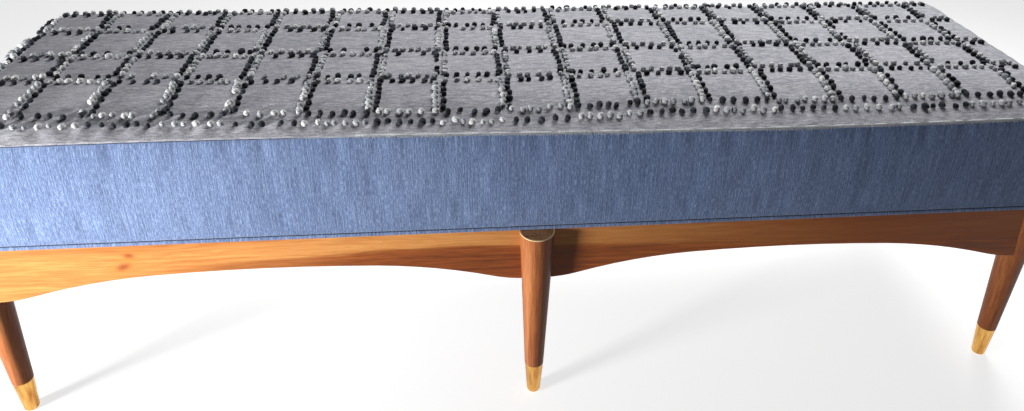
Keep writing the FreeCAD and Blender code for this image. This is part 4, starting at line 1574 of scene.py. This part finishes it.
@dataclass(frozen=True)
class Boxing:
    """The four plain bands round the sides of the seat.

    Each tuck is how far an edge is drawn in; its fade is the share of the band's height over
    which that dies away.
    """

    seam: SeamLine
    low: float
    drop: float = 2.6 * MM
    bulge: float = 2.0 * MM
    cloth: float = 2.4 * MM
    low_tuck: float = 1.5 * MM
    low_fade: float = 0.012
    high_tuck: float = 1.6 * MM
    hidden_tuck: float = 1.6 * MM
    high_fade: float = 0.016
    wander: float = 0.55 * MM
    ripple: float = 0.25 * MM
    ripple_low: float = 0.4
    plain_share: float = 0.3
    mesh_edge: tuple[float, ...] = (0.0, 0.008, 0.02, 0.04, 0.07)
    mesh_middle: int = 17
    mesh_step: float = 6 * MM
    slack: float = 0.15 * MM
    first_seed: int = 30
    swell: Swell | None = None

    @property
    def high(self) -> float:
        """The mean height of the bands' upper edge."""
        return self.seam.height - self.drop

    def profile(self, way: Array, seed: int) -> tuple[Array, Array]:
        """Gives the outer face of a band at each place along it, from the hem to the seam.

        The face swells as a parabola of its height, is drawn in over the last millimetres at
        both edges, deeper where the seam hides its frayed edge, and wanders along its length.

        Args:
            way: Distances along the rim.
            seed: Seed of the wandering.

        Returns:
            Reach and height of each point.
        """
        near = np.array(self.mesh_edge)
        middle = np.linspace(0.1, 0.9, self.mesh_middle)
        share = np.concatenate([near, middle, 1 - near[::-1]])
        swell = self.bulge * (1 - (2 * share - 1) ** 2)
        places = self.seam.rim.walk(way)[0]
        hidden = 1 - self.seam.stand(places[:, 0], places[:, 1])[:, None]
        tuck = self.low_tuck * np.exp(-share / self.low_fade)
        high_tuck = self.high_tuck + self.hidden_tuck * hidden
        tuck = tuck + high_tuck * np.exp(-(1 - share) / self.high_fade)
        soft = np.sin(math.pi * share)
        wander = self.wander * waves(way, seed, longest=0.5)[:, None] * soft
        ripple = self.ripple * waves(way, seed + 1, longest=0.11)[:, None] * soft
        ripple = ripple * (self.ripple_low + (1 - self.ripple_low) * share)
        plain = np.broadcast_to(self.low + (self.high - self.low) * share, wander.shape)
        if self.swell is not None:
            swell = self.plain_share * swell + self.swell.reach(way[:, None], plain)
        top = self.seam.level(way)[:, None] - self.drop
        return swell - tuck + wander + ripple, self.low + (top - self.low) * share

    def build(self, name: str, start: float, end: float, seed: int,
              cloth: bpy.types.Material) -> bpy.types.Object:
        """Builds one band between two places on the rim, as a thin closed wall.

        Args:
            name: The node that it replaces.
            start: Where it begins.
            end: Where it ends.
            seed: Seed of its unevenness.
            cloth: Its finish.

        Returns:
            The piece.
        """
        way = np.linspace(start, end, round((end - start) / self.mesh_step) + 1)
        out, high = self.profile(way, seed)
        inner = np.full_like(out, -self.cloth)
        outwards = np.concatenate([out, inner[:, ::-1]], 1)
        heights = np.concatenate([high, high[:, ::-1]], 1)
        points = self.seam.rim.carry(way, outwards, heights)
        rows, cols = points.shape[:2]
        length = profile_length(outwards[0], heights[0])
        u, v = np.meshgrid(way, length, indexing="ij")
        faces, maps = quilt(rows, cols, np.stack([u, v], -1), round_cols=True)
        ends = np.arange(cols)
        caps = np.stack([ends[::-1], ends + (rows - 1) * cols])
        item = assemble(f"{name}_cloth", points.reshape(-1, 3), [faces, caps],
                        [maps, flat_map(caps)])
        show(item, cloth)
        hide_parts(name)
        return item

    def build_all(self, cloth: bpy.types.Material) -> list[bpy.types.Object]:
        """Builds the front, right, back and left bands in turn.

        Args:
            cloth: Their finish.

        Returns:
            The pieces.
        """
        half = self.seam.rim.straight_x
        whole = self.seam.rim.around()
        places = {
            "front_band": (-half, half),
            "right_band": (half, whole / 2 - half),
            "back_band": (whole / 2 - half, whole / 2 + half),
            "left_band": (whole / 2 + half, whole - half),
        }
        return [
            self.build(name, start + self.slack, end - self.slack, self.first_seed + 2 * order,
                       cloth)
            for order, (name, (start, end)) in enumerate(places.items())
        ]


@dataclass(frozen=True)
class Hem:
    """The turned strip along the lower edge of the boxing, and the stitches above it.

    The face is given by shares of its height and reaches in millimetres; the map of the strip
    is shifted so that its streaks don't line up with those of the bands.
    """

    rim: Rim
    low: float
    high: float
    face_shares: tuple[float, ...] = (0.02, 0.1, 0.25, 0.5, 0.75, 0.9, 0.98, 1.0)
    face_reaches: tuple[float, ...] = (-0.9, -0.1, 0.55, 0.75, 0.6, 0.1, -0.7, -1.3)
    places: int = 640
    wander: float = 0.25 * MM
    map_shift: float = 0.3
    thickness: float = 2.6 * MM
    stitch: float = 3.3 * MM
    stitch_pitch: float = 4.9 * MM
    stitch_radius: float = 0.42 * MM
    stitch_sunk: float = 0.75 * MM
    stitch_bow: float = 0.5 * MM
    stitch_above: float = 0.2 * MM
    stitch_taper: tuple[float, ...] = (0.55, 1.0, 1.0, 0.55)
    stitch_sides: int = 6

    def build(self, cloth: bpy.types.Material) -> bpy.types.Object:
        """Builds the strip: a closed profile with a fold at its lower edge, carried once round.

        Args:
            cloth: Its finish.

        Returns:
            The piece.
        """
        way = np.linspace(0, self.rim.around(), self.places, endpoint=False)
        share = np.array(self.face_shares)
        uneven = self.wander * waves(way, seed=61, longest=0.17)[:, None]
        out = np.array(self.face_reaches)[None] * MM + uneven * np.sin(math.pi * share)
        high = np.broadcast_to(self.low + (self.high - self.low) * share, out.shape)
        inner = np.full((len(way), 2), -self.thickness)
        inner_high = np.broadcast_to([self.high, self.low], inner.shape)
        outwards = np.concatenate([out, inner], 1)
        heights = np.concatenate([high, inner_high], 1)
        points = self.rim.carry(way, outwards, heights)
        rows, cols = points.shape[:2]
        length = profile_length(outwards[0], heights[0])
        u, v = np.meshgrid(np.append(way, self.rim.around()), length + self.map_shift,
                           indexing="ij")
        faces, maps = quilt(rows, cols, np.stack([u, v], -1), True, True)
        item = assemble("hem_strip", points.reshape(-1, 3), [faces], [maps])
        show(item, cloth)
        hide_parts("bottom_hem")
        return item

    def sew(self, thread: bpy.types.Material) -> bpy.types.Object:
        """Sews a line of short stitches into the groove above the strip.

        A stitch is a thin many-sided rod, bowed outwards in its middle as a half sine.

        Args:
            thread: The finish of the thread.

        Returns:
            The piece.
        """
        count = round(self.rim.around() / self.stitch_pitch)
        middle = (np.arange(count) + 0.5) * self.rim.around() / count
        rings, sides = len(self.stitch_taper), self.stitch_sides
        share = np.linspace(0, 1, rings)
        way = middle[:, None] + (share[None] - 0.5) * self.stitch
        bow = self.stitch_bow * np.sin(math.pi * share) - self.stitch_sunk
        angle = np.linspace(0, 2 * math.pi, sides, endpoint=False)
        thick = self.stitch_radius * np.array(self.stitch_taper)
        out = np.tile(bow[:, None] + thick[:, None] * np.cos(angle), (count, 1))
        up = self.high + self.stitch_above + thick[:, None] * np.sin(angle)
        points = self.rim.carry(way.ravel(), out, np.tile(up, (count, 1)))
        u, v = np.meshgrid(share, np.linspace(0, 1, sides + 1), indexing="ij")
        one, one_map = quilt(rings, sides, np.stack([u, v], -1), round_cols=True)
        ring = np.arange(sides)[None]
        size = rings * sides
        caps = np.concatenate([repeated(ring[:, ::-1], count, size),
                               repeated(ring + size - sides, count, size)])
        item = assemble("hem_stitches", points.reshape(-1, 3),
                        [repeated(one, count, size), caps],
                        [np.tile(one_map, (count, 1, 1)), flat_map(caps)])
        return show(item, thread)


@dataclass(frozen=True)
class SeamFringe:
    """The frayed pale edge that shows in the seam between the top and the boxing.

    Lengths of the cord come first, then those of the loose threads; a thread hangs from its root,
    which lies deeper where the edge is hidden.
    """

    seam: SeamLine
    drop: float = 1.7 * MM
    radius: float = 2.0 * MM
    sunk: float = 1.7 * MM
    out: float = 1.1 * MM
    lower: float = 1.0 * MM
    places: int = 900
    sides: int = 8
    uneven: float = 0.16
    map_round: float = 8 * MM
    pitch: float = 0.85 * MM
    thread_long: float = 5.6 * MM
    thread_radius: float = 0.34 * MM
    thread_taper: tuple[float, float, float] = (1.0, 0.85, 0.3)
    thread_angles: tuple[float, float, float] = (0.0, 2.1, 4.2)
    shortest: float = 0.15
    lean: float = 0.22
    root_out: float = 2.8 * MM
    root_sunk: float = 1.4 * MM
    root_below: float = 1.0 * MM
    thread_bow: float = 0.5 * MM
    thread_stray: float = 0.12 * MM
    start_stray: float = 0.4
    length_range: tuple[float, float] = (0.5, 1.0)
    length_waves: tuple[float, float] = (0.85, 0.2)
    thread_seed: int = 81

    def stand(self, way: Array) -> Array:
        """Tells how far the frayed edge stands out at distances along the rim."""
        places = self.seam.rim.walk(way)[0]
        return self.seam.stand(places[:, 0], places[:, 1])

    def build(self, cloth: bpy.types.Material) -> bpy.types.Object:
        """Builds the cord: an uneven round profile carried once round.

        Args:
            cloth: Its finish.

        Returns:
            The piece.
        """
        rim = self.seam.rim
        way = np.linspace(0, rim.around(), self.places, endpoint=False)
        angle = np.linspace(-math.pi / 2, 1.5 * math.pi, self.sides + 1)[:-1]
        uneven = 1 + self.uneven * waves(way, seed=71, longest=0.05)[:, None]
        stand = self.stand(way)[:, None]
        out = stand * self.out - self.sunk + self.radius * np.cos(angle) * uneven
        middle = self.seam.level(way)[:, None] - self.drop - self.lower * (1 - stand)
        up = middle + self.radius * np.sin(angle) * uneven
        points = rim.carry(way, out, up)
        rows, cols = points.shape[:2]
        u, v = np.meshgrid(np.append(way, rim.around()),
                           np.linspace(0, self.map_round, self.sides + 1), indexing="ij")
        faces, maps = quilt(rows, cols, np.stack([u, v], -1), True, True)
        item = assemble("seam_cord", points.reshape(-1, 3), [faces], [maps])
        # How far the edge stands out; where it is 0 the cord's material paints the groove's shade.
        carry_value(item, "shown", np.repeat(stand, cols))
        show(item, cloth)
        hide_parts("top_welt")
        return item

    def fray(self, cloth: bpy.types.Material) -> bpy.types.Object:
        """Hangs short loose threads from the cord, each a bent three-sided spike.

        Args:
            cloth: Their finish.

        Returns:
            The piece.
        """
        draw = np.random.default_rng(self.thread_seed)
        rim = self.seam.rim
        rings, sides = len(self.thread_taper), len(self.thread_angles)
        count = round(rim.around() / self.pitch)
        stray = draw.uniform(-self.start_stray, self.start_stray, count)
        start = (np.arange(count) + stray) * self.pitch
        stand = self.stand(start)
        mean, swing = self.length_waves
        uneven = draw.uniform(*self.length_range, count)
        uneven = uneven * (mean + swing * waves(start, seed=82, longest=0.3))
        long = self.thread_long * uneven * (self.shortest + (1 - self.shortest) * stand)
        lean = draw.normal(0, self.lean, count)
        share = np.linspace(0, 1, rings)
        way = start[:, None] + lean[:, None] * long[:, None] * share ** 2
        down = long[:, None] * share
        root = (stand * self.root_out - self.root_sunk)[:, None]
        out = root + self.thread_bow * np.sin(math.pi * share)
        out = out + draw.normal(0, self.thread_stray, (count, 1))
        angle = np.array(self.thread_angles)
        thick = self.thread_radius * np.array(self.thread_taper)
        reach = out[..., None] + (thick[:, None] * np.cos(angle))[None]
        aside = (thick[:, None] * np.sin(angle))[None] + np.zeros((count, 1, 1))
        up = self.seam.level(start)[:, None] - self.root_below - down
        up = np.repeat(up[..., None], sides, -1)
        spots = (way[..., None] + aside).ravel()
        points = rim.carry(spots, reach.reshape(-1, 1), up.reshape(-1, 1))
        u, v = np.meshgrid(share, np.linspace(0, 1, sides + 1), indexing="ij")
        one, one_map = quilt(rings, sides, np.stack([u, v], -1), round_cols=True)
        size = rings * sides
        ring = np.arange(sides)[None]
        caps = np.concatenate([repeated(ring, count, size),
                               repeated(ring[:, ::-1] + size - sides, count, size)])
        item = assemble("seam_threads", points.reshape(-1, 3),
                        [repeated(one[:, ::-1], count, size), caps],
                        [np.tile(one_map[:, ::-1], (count, 1, 1)), flat_map(caps)])
        return show(item, cloth)


@dataclass(frozen=True)
class DustCloth:
    """The thin black cloth under the seat, which sags a little between the boards."""

    half_x: float
    half_y: float
    top: float
    thickness: float = 1.1 * MM
    free_x: float = 730 * MM
    free_y: float = 186 * MM
    rail_half: float = 14 * MM
    sag: float = 2.5 * MM
    crease: float = 0.3 * MM
    mesh: tuple[int, int] = (151, 43)

    def build(self, cloth: bpy.types.Material) -> bpy.types.Object:
        """Builds the cloth: it sags as the product of two half sines on each side of the rail.

        Args:
            cloth: Its finish.

        Returns:
            The piece.
        """
        rows, cols = self.mesh
        x, y = np.meshgrid(np.linspace(-self.half_x, self.half_x, rows),
                           np.linspace(-self.half_y, self.half_y, cols), indexing="ij")
        past_rail = (np.abs(x) - self.rail_half) / (self.free_x - self.rail_half)
        across = np.clip(np.abs(y) / self.free_y, 0, 1)
        down = np.sin(math.pi * np.clip(past_rail, 0, 1)) * np.cos(math.pi / 2 * across)
        crease = self.crease * waves(x - 1.7 * y, seed=91, longest=0.09)
        down = down * (self.sag + crease)
        under = np.stack([x, y, self.top - self.thickness - down], -1)[:, ::-1]
        above = np.stack([x, y, np.full_like(x, self.top)], -1)
        faces, maps = quilt(rows, cols, np.stack([x, y], -1))
        count = rows * cols
        index = np.arange(count).reshape(rows, cols)
        top_loop = outer_loop(index)
        low_loop = outer_loop(index[:, ::-1] + count)
        wall = np.stack([low_loop, np.roll(low_loop, -1), np.roll(top_loop, -1), top_loop], -1)
        points = np.concatenate([above.reshape(-1, 3), under.reshape(-1, 3)])
        item = assemble("dust_cloth", points, [faces, faces + count, wall],
                        [maps, maps, flat_map(wall)])
        show(item, cloth)
        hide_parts("dust_cover")
        return item


@dataclass(frozen=True)
class Base:
    """The boards, blocks, legs, cups and fasteners, whose solids keep their shapes."""

    wood_knots: tuple[WoodKnot, ...] = (
        WoodKnot((-541 * MM, -212 * MM, 277.5 * MM), 8.0 * MM, 5.0 * MM, -0.1),
        WoodKnot((-551 * MM, -212 * MM, 259.5 * MM), 11.5 * MM, 6.0 * MM, 0.4))
    apron_centre: tuple[float, float, float] = (0.1, 0.0, 0.012)
    middle_leg_line: float = 216 * MM
    leg_radius: float = 24 * MM
    leg_top: float = 295 * MM
    leg_bands: Streaks = Streaks(1.4, 60.0, 2.0, share=0.6)
    leg_figure: Streaks = Streaks(7.0, 210.0, 4.0, 0.6, 0.5)
    sapwood: tuple[Colour, Colour, Colour] = (
        srgb(146, 84, 40), srgb(190, 124, 65), srgb(216, 156, 92))
    leg_tones: tuple[Colour, Colour, Colour] = (
        srgb(84, 42, 22), srgb(148, 84, 46), srgb(192, 124, 74))
    bare_tones: tuple[Colour, Colour, Colour] = (
        srgb(150, 112, 70), srgb(186, 148, 102), srgb(208, 176, 132))
    ply_tones: tuple[Colour, Colour, Colour] = (
        srgb(160, 124, 82), srgb(196, 160, 112), srgb(216, 186, 142))
    brass: tuple[Colour, Colour, float] = (srgb(240, 188, 104), srgb(184, 118, 58), 0.24)
    steel: tuple[Colour, Colour, float] = (srgb(176, 178, 182), srgb(120, 118, 116), 0.35)
    bare_roughness: float = 0.7
    pattern_spread: tuple[float, float] = (3.7, 5.3)
    pattern_shift: float = 0.4
    fastener_ends: tuple[str, ...] = (
        "_bolt", "_nut", "_seat_screw", "_screw_upper", "_screw_lower")

    def dress(self) -> None:
        """Gives every solid of the base a finish of its own kind."""
        for name in sorted(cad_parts):
            finish = self.finish_for(name)
            if finish is None:
                continue
            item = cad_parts[name]
            material = finish.make()
            for slot in item.material_slots:
                slot.material = material
            log.info("%s: %s", name, material.name)

    def leg_wood(self, name: str, offset: tuple[float, float, float]) -> OiledWood:
        """Gives a leg's finish, with a sawn top on the middle ones.

        Args:
            name: The node's name.
            offset: Centre of the pattern.

        Returns:
            The finish.
        """
        end = None
        if "middle" in name:
            side = -1 if name.startswith("front") else 1
            end = EndGrain((0.0, side * self.middle_leg_line), self.leg_radius, self.leg_top)
        return OiledWood(f"leg_wood_{name}", Grain.ALONG_Z, offset, *self.leg_tones,
                         bands=self.leg_bands, figure=self.leg_figure, end=end)

    def board_wood(self, name: str, offset: tuple[float, float, float]) -> OiledWood:
        """Gives an apron's finish; the front one has two small knots.

        Both long aprons share one centre, which puts the streaks of the front one where they
        are seen.

        Args:
            name: The node's name.
            offset: Centre of the pattern.

        Returns:
            The finish.
        """
        if name.endswith("_end_apron"):
            heart = Heartwood(crest=0.0, fades=(-260 * MM, -230 * MM))
            return OiledWood(f"apron_wood_{name}", Grain.ALONG_Y, offset, *self.sapwood,
                             heart=heart)
        knots = self.wood_knots if name == "front_apron" else ()
        return OiledWood(f"apron_wood_{name}", Grain.ALONG_X, self.apron_centre, *self.sapwood,
                         knots=knots, heart=Heartwood())

    def finish_for(self, name: str) -> OiledWood | SatinMetal | None:
        """Chooses the finish of one solid, with a pattern centre that sets it apart from others.

        Args:
            name: The node's name.

        Returns:
            The finish, or None for a soft piece, which is replaced.
        """
        low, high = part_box(name)
        centre = tuple((low + high) / 2)
        along, across = self.pattern_spread
        offset = (centre[0] * along, centre[1] * across + self.pattern_shift, centre[2])
        if name.endswith("_ferrule"):
            return SatinMetal(f"brass_{name}", *self.brass)
        if name.endswith(self.fastener_ends):
            return SatinMetal(f"steel_{name}", *self.steel)
        if name.endswith("_leg"):
            return self.leg_wood(name, offset)
        if name.endswith("_apron"):
            return self.board_wood(name, offset)
        if name.endswith("_corner_block") or name == "middle_rail":
            grain = Grain.ALONG_Y if name == "middle_rail" else Grain.ALONG_Z
            return OiledWood(f"bare_wood_{name}", grain, offset, *self.bare_tones,
                             roughness=self.bare_roughness)
        if name == "seat_panel":
            return OiledWood("plywood", Grain.ALONG_X, offset, *self.ply_tones,
                             roughness=self.bare_roughness)
        return None


@dataclass(frozen=True)
class Viewpoint:
    """The camera, as a pinhole fitted to the picture."""

    place: tuple[float, float, float] = (-0.0977, -1.0989, 0.9518)
    pitch: float = 25.82
    yaw: float = 6.1
    roll: float = -1.36
    focal: float = 792.1
    centre_column: float = 538.4
    centre_row: float = 81.2
    width: int = 1024
    height: int = 411

    def build(self) -> bpy.types.Object:
        """Aims the camera: forward from yaw and pitch, then right and up turned by the roll.

        Returns:
            The camera.
        """
        pitch, yaw, roll = (math.radians(v) for v in (self.pitch, self.yaw, self.roll))
        forward = Vector((math.sin(yaw) * math.cos(pitch), math.cos(yaw) * math.cos(pitch),
                          -math.sin(pitch)))
        level = Vector((math.cos(yaw), -math.sin(yaw), 0))
        down = forward.cross(level)
        right = level * math.cos(roll) + down * math.sin(roll)
        up = level * math.sin(roll) - down * math.cos(roll)
        data = bpy.data.cameras.new("picture_camera")
        data.sensor_fit = "HORIZONTAL"
        data.sensor_width = 36.0
        data.lens = self.focal / self.width * data.sensor_width
        data.shift_x = (self.width / 2 - self.centre_column) / self.width
        data.shift_y = (self.centre_row - self.height / 2) / self.width
        data.clip_start = 0.01
        camera = bpy.data.objects.new("picture_camera", data)
        turn = Matrix((right, up, -forward)).transposed().to_4x4()
        camera.matrix_world = Matrix.Translation(self.place) @ turn
        bpy.context.scene.collection.objects.link(camera)
        bpy.context.scene.camera = camera
        return camera


@dataclass(frozen=True)
class Lamp:
    """A soft rectangular lamp that points at a spot."""

    name: str
    place: tuple[float, float, float]
    target: tuple[float, float, float]
    size: tuple[float, float]
    power: float
    spread: float = 180.0

    def build(self) -> None:
        """Hangs the lamp and turns it to its target."""
        data = bpy.data.lights.new(self.name, "AREA")
        data.shape = "RECTANGLE"
        data.size, data.size_y = self.size
        data.energy = self.power
        data.spread = math.radians(self.spread)
        lamp = bpy.data.objects.new(self.name, data)
        aim = Vector(self.target) - Vector(self.place)
        lamp.matrix_world = Matrix.Translation(self.place) @ aim.to_track_quat(
            "-Z", "Y").to_matrix().to_4x4()
        lamp.visible_camera = False
        bpy.context.scene.collection.objects.link(lamp)


@dataclass(frozen=True)
class Studio:
    """The floor, the world and the lamps."""

    floor_half: float = 14.0
    floor_tones: tuple[float, float] = (0.42, 0.45)
    floor_repeats: float = 6.0
    floor_relief: float = 0.1 * MM
    floor_roughness: float = 0.9
    floor_glow: float = 0.76
    world_strength: float = 0.035
    lamps: tuple[Lamp, ...] = (
        Lamp("window_left", (-1.8, -1.0, 0.44), (-0.72, -0.26, 0.28), (0.4, 0.4), 8.0, 50.0),
        Lamp("window_behind", (0.6, 0.95, 1.75), (0.3, 0.05, 0.45), (1.6, 1.1), 28.5, 132.0),
    )

    def seen(self, board: Board) -> Socket:
        """Tells the rays that show the background: from the camera, or by gloss or glass.

        Args:
            board: The floor's node board.

        Returns:
            A factor, 1 for those rays.
        """
        rays = board.add("LightPath").outputs
        gloss = board.reckon("MAXIMUM", rays["Is Glossy Ray"], rays["Is Transmission Ray"])
        return board.reckon("MAXIMUM", rays["Is Camera Ray"], gloss)

    def build_floor(self) -> bpy.types.Object:
        """Lays one large pale floor that keeps the bench's shadow.

        Returns:
            The floor.
        """
        half = self.floor_half
        points = np.array([(-half, -half, 0), (half, -half, 0), (half, half, 0), (-half, half, 0)])
        face = np.array([[0, 1, 2, 3]])
        item = assemble("floor", points, [face], [flat_map(face)])
        board = Board("pale_floor")
        grain = board.noise(board.place((self.floor_repeats,) * 3))
        low, high = ((tone, tone, tone, 1.0) for tone in self.floor_tones)
        colour = board.ramp(grain, [(0.0, low), (1.0, high)])
        material = board.surface(colour, grain, self.floor_relief, self.floor_roughness)
        board.shader.inputs["Emission Color"].default_value = (1.0, 1.0, 1.0, 1.0)
        glow = board.reckon("MULTIPLY", self.seen(board), self.floor_glow)
        board.tree.links.new(glow, board.shader.inputs["Emission Strength"])
        item.data.materials.append(material)
        return item

    def build(self) -> None:
        """Lays the floor, lights the world evenly and hangs the lamps."""
        self.build_floor()
        world = bpy.data.worlds.new("studio")
        world.use_nodes = True
        back = world.node_tree.nodes["Background"]
        back.inputs["Color"].default_value = (1.0, 1.0, 1.0, 1.0)
        back.inputs["Strength"].default_value = self.world_strength
        bpy.context.scene.world = world
        bpy.context.scene.view_settings.view_transform = "Standard"
        for lamp in self.lamps:
            lamp.build()


@dataclass(frozen=True)
class Upholstery:
    """All soft pieces of the seat, from shared sizes."""

    half_x: float = 760 * MM
    half_y: float = 215 * MM
    corner: float = 14 * MM
    lower_edge: float = 295 * MM
    hem_top: float = 301 * MM
    seam_height: float = 450 * MM
    trial_crown: float = 18.5 * MM
    trial_run: float = 105 * MM
    hem_gap: float = 0.3 * MM
    hem_clear: float = 0.1 * MM
    dust_inset: float = 3.4 * MM
    dust_thickness: float = 1.2 * MM

    def cloths(self) -> dict[str, bpy.types.Material]:
        """Makes the materials of the soft pieces.

        Returns:
            Each by a short name.
        """
        slate = SlubCloth(
            "slate_top_cloth", srgb(94, 95, 105), srgb(151, 151, 158), srgb(204, 203, 207),
            (Threads((45.0, 260.0, 60.0), 0.28, 0.2), Threads((130.0, 620.0, 200.0), 0.34),
             Threads((900.0, 420.0, 300.0), 0.26), Threads((7.0, 10.0, 7.0), 0.12, 0.25)),
            on_map=False,
        ).make()
        denim = SlubCloth(
            "denim_band_cloth", srgb(50, 62, 94), srgb(100, 118, 154), srgb(162, 181, 216),
            (Threads((620.0, 18.0, 1.0), 0.20, 0.16, 1.0), Threads((1000.0, 130.0, 1.0), 0.34),
             Threads((1300.0, 700.0, 1.0), 0.32), Threads((5.0, 4.0, 1.0), 0.14, 0.3)),
        ).make()
        frayed = SlubCloth(
            "pale_fringe_cloth", srgb(160, 164, 172), srgb(206, 208, 212), srgb(236, 236, 236),
            (Threads((900.0, 60.0, 1.0), 0.5), Threads((2400.0, 300.0, 1.0), 0.3),
             Threads((9.0, 9.0, 1.0), 0.2)),
        )
        # Painted shade: the cord is navy where it lies hidden, for the dark of the seam's groove.
        cord = replace(frayed, name="seam_cord_cloth_with_painted_shade", hidden=srgb(24, 30, 48)).make()
        thread = SlubCloth(
            "navy_thread", srgb(16, 22, 38), srgb(30, 38, 60), srgb(58, 68, 96),
            (Threads((8.0, 3.0, 1.0), 0.6), Threads((30.0, 6.0, 1.0), 0.4)), relief=0.1 * MM,
        ).make()
        black = SlubCloth(
            "black_dust_cloth", srgb(14, 14, 16), srgb(26, 26, 29), srgb(44, 44, 48),
            (Threads((300.0, 300.0, 300.0), 0.5), Threads((1500.0, 1500.0, 1500.0), 0.3),
             Threads((10.0, 10.0, 10.0), 0.2)), on_map=False,
        ).make()
        light = KnotYarn("light_yarn", srgb(104, 106, 114), srgb(172, 174, 177),
                         srgb(226, 226, 224)).make()
        dark = KnotYarn("dark_yarn", srgb(10, 11, 15), srgb(28, 30, 37), srgb(74, 78, 88)).make()
        return {"slate": slate, "denim": denim, "cord": cord, "fringe": frayed.make(),
                "thread": thread, "black": black, "light": light, "dark": dark}

    def build(self) -> list[bpy.types.Object]:
        """Builds the top, its knots, the boxing, the hem, the seam and the dust cloth.

        Returns:
            The pieces, in order.
        """
        cloths = self.cloths()
        rim = Rim(self.half_x, self.half_y, self.corner)
        swell = None
        swell = PadTrial(rim, self.seam_height, self.hem_top, self.trial_crown,
                         self.trial_run).work_out()
        seam = SeamLine(rim, self.seam_height)
        top = SeatTop(seam, swell=swell)
        made = [top.build(cloths["slate"])]
        knots = KnotGrid(top)
        made += [knots.build(Tone.LIGHT, cloths["light"]), knots.build(Tone.DARK, cloths["dark"])]
        boxing = Boxing(seam, self.hem_top + self.hem_gap, swell=swell)
        made += boxing.build_all(cloths["denim"])
        hem = Hem(rim, self.lower_edge + self.hem_clear, self.hem_top)
        made += [hem.build(cloths["denim"]), hem.sew(cloths["thread"])]
        edge = SeamFringe(seam)
        made += [edge.build(cloths["cord"]), edge.fray(cloths["fringe"])]
        dust = DustCloth(self.half_x - self.dust_inset, self.half_y - self.dust_inset,
                         self.lower_edge + self.dust_thickness)
        made.append(dust.build(cloths["black"]))
        return made


def main() -> None:
    """Builds the bench piece by piece, then the studio and the camera."""
    logging.basicConfig(level=logging.INFO, format="%(name)s: %(message)s")
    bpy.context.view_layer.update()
    for piece in Upholstery().build():
        log.info("%s: %d faces", piece.name, len(piece.data.polygons))
    Base().dress()
    Studio().build()
    Viewpoint().build()


if __name__ == "__main__":
    main()
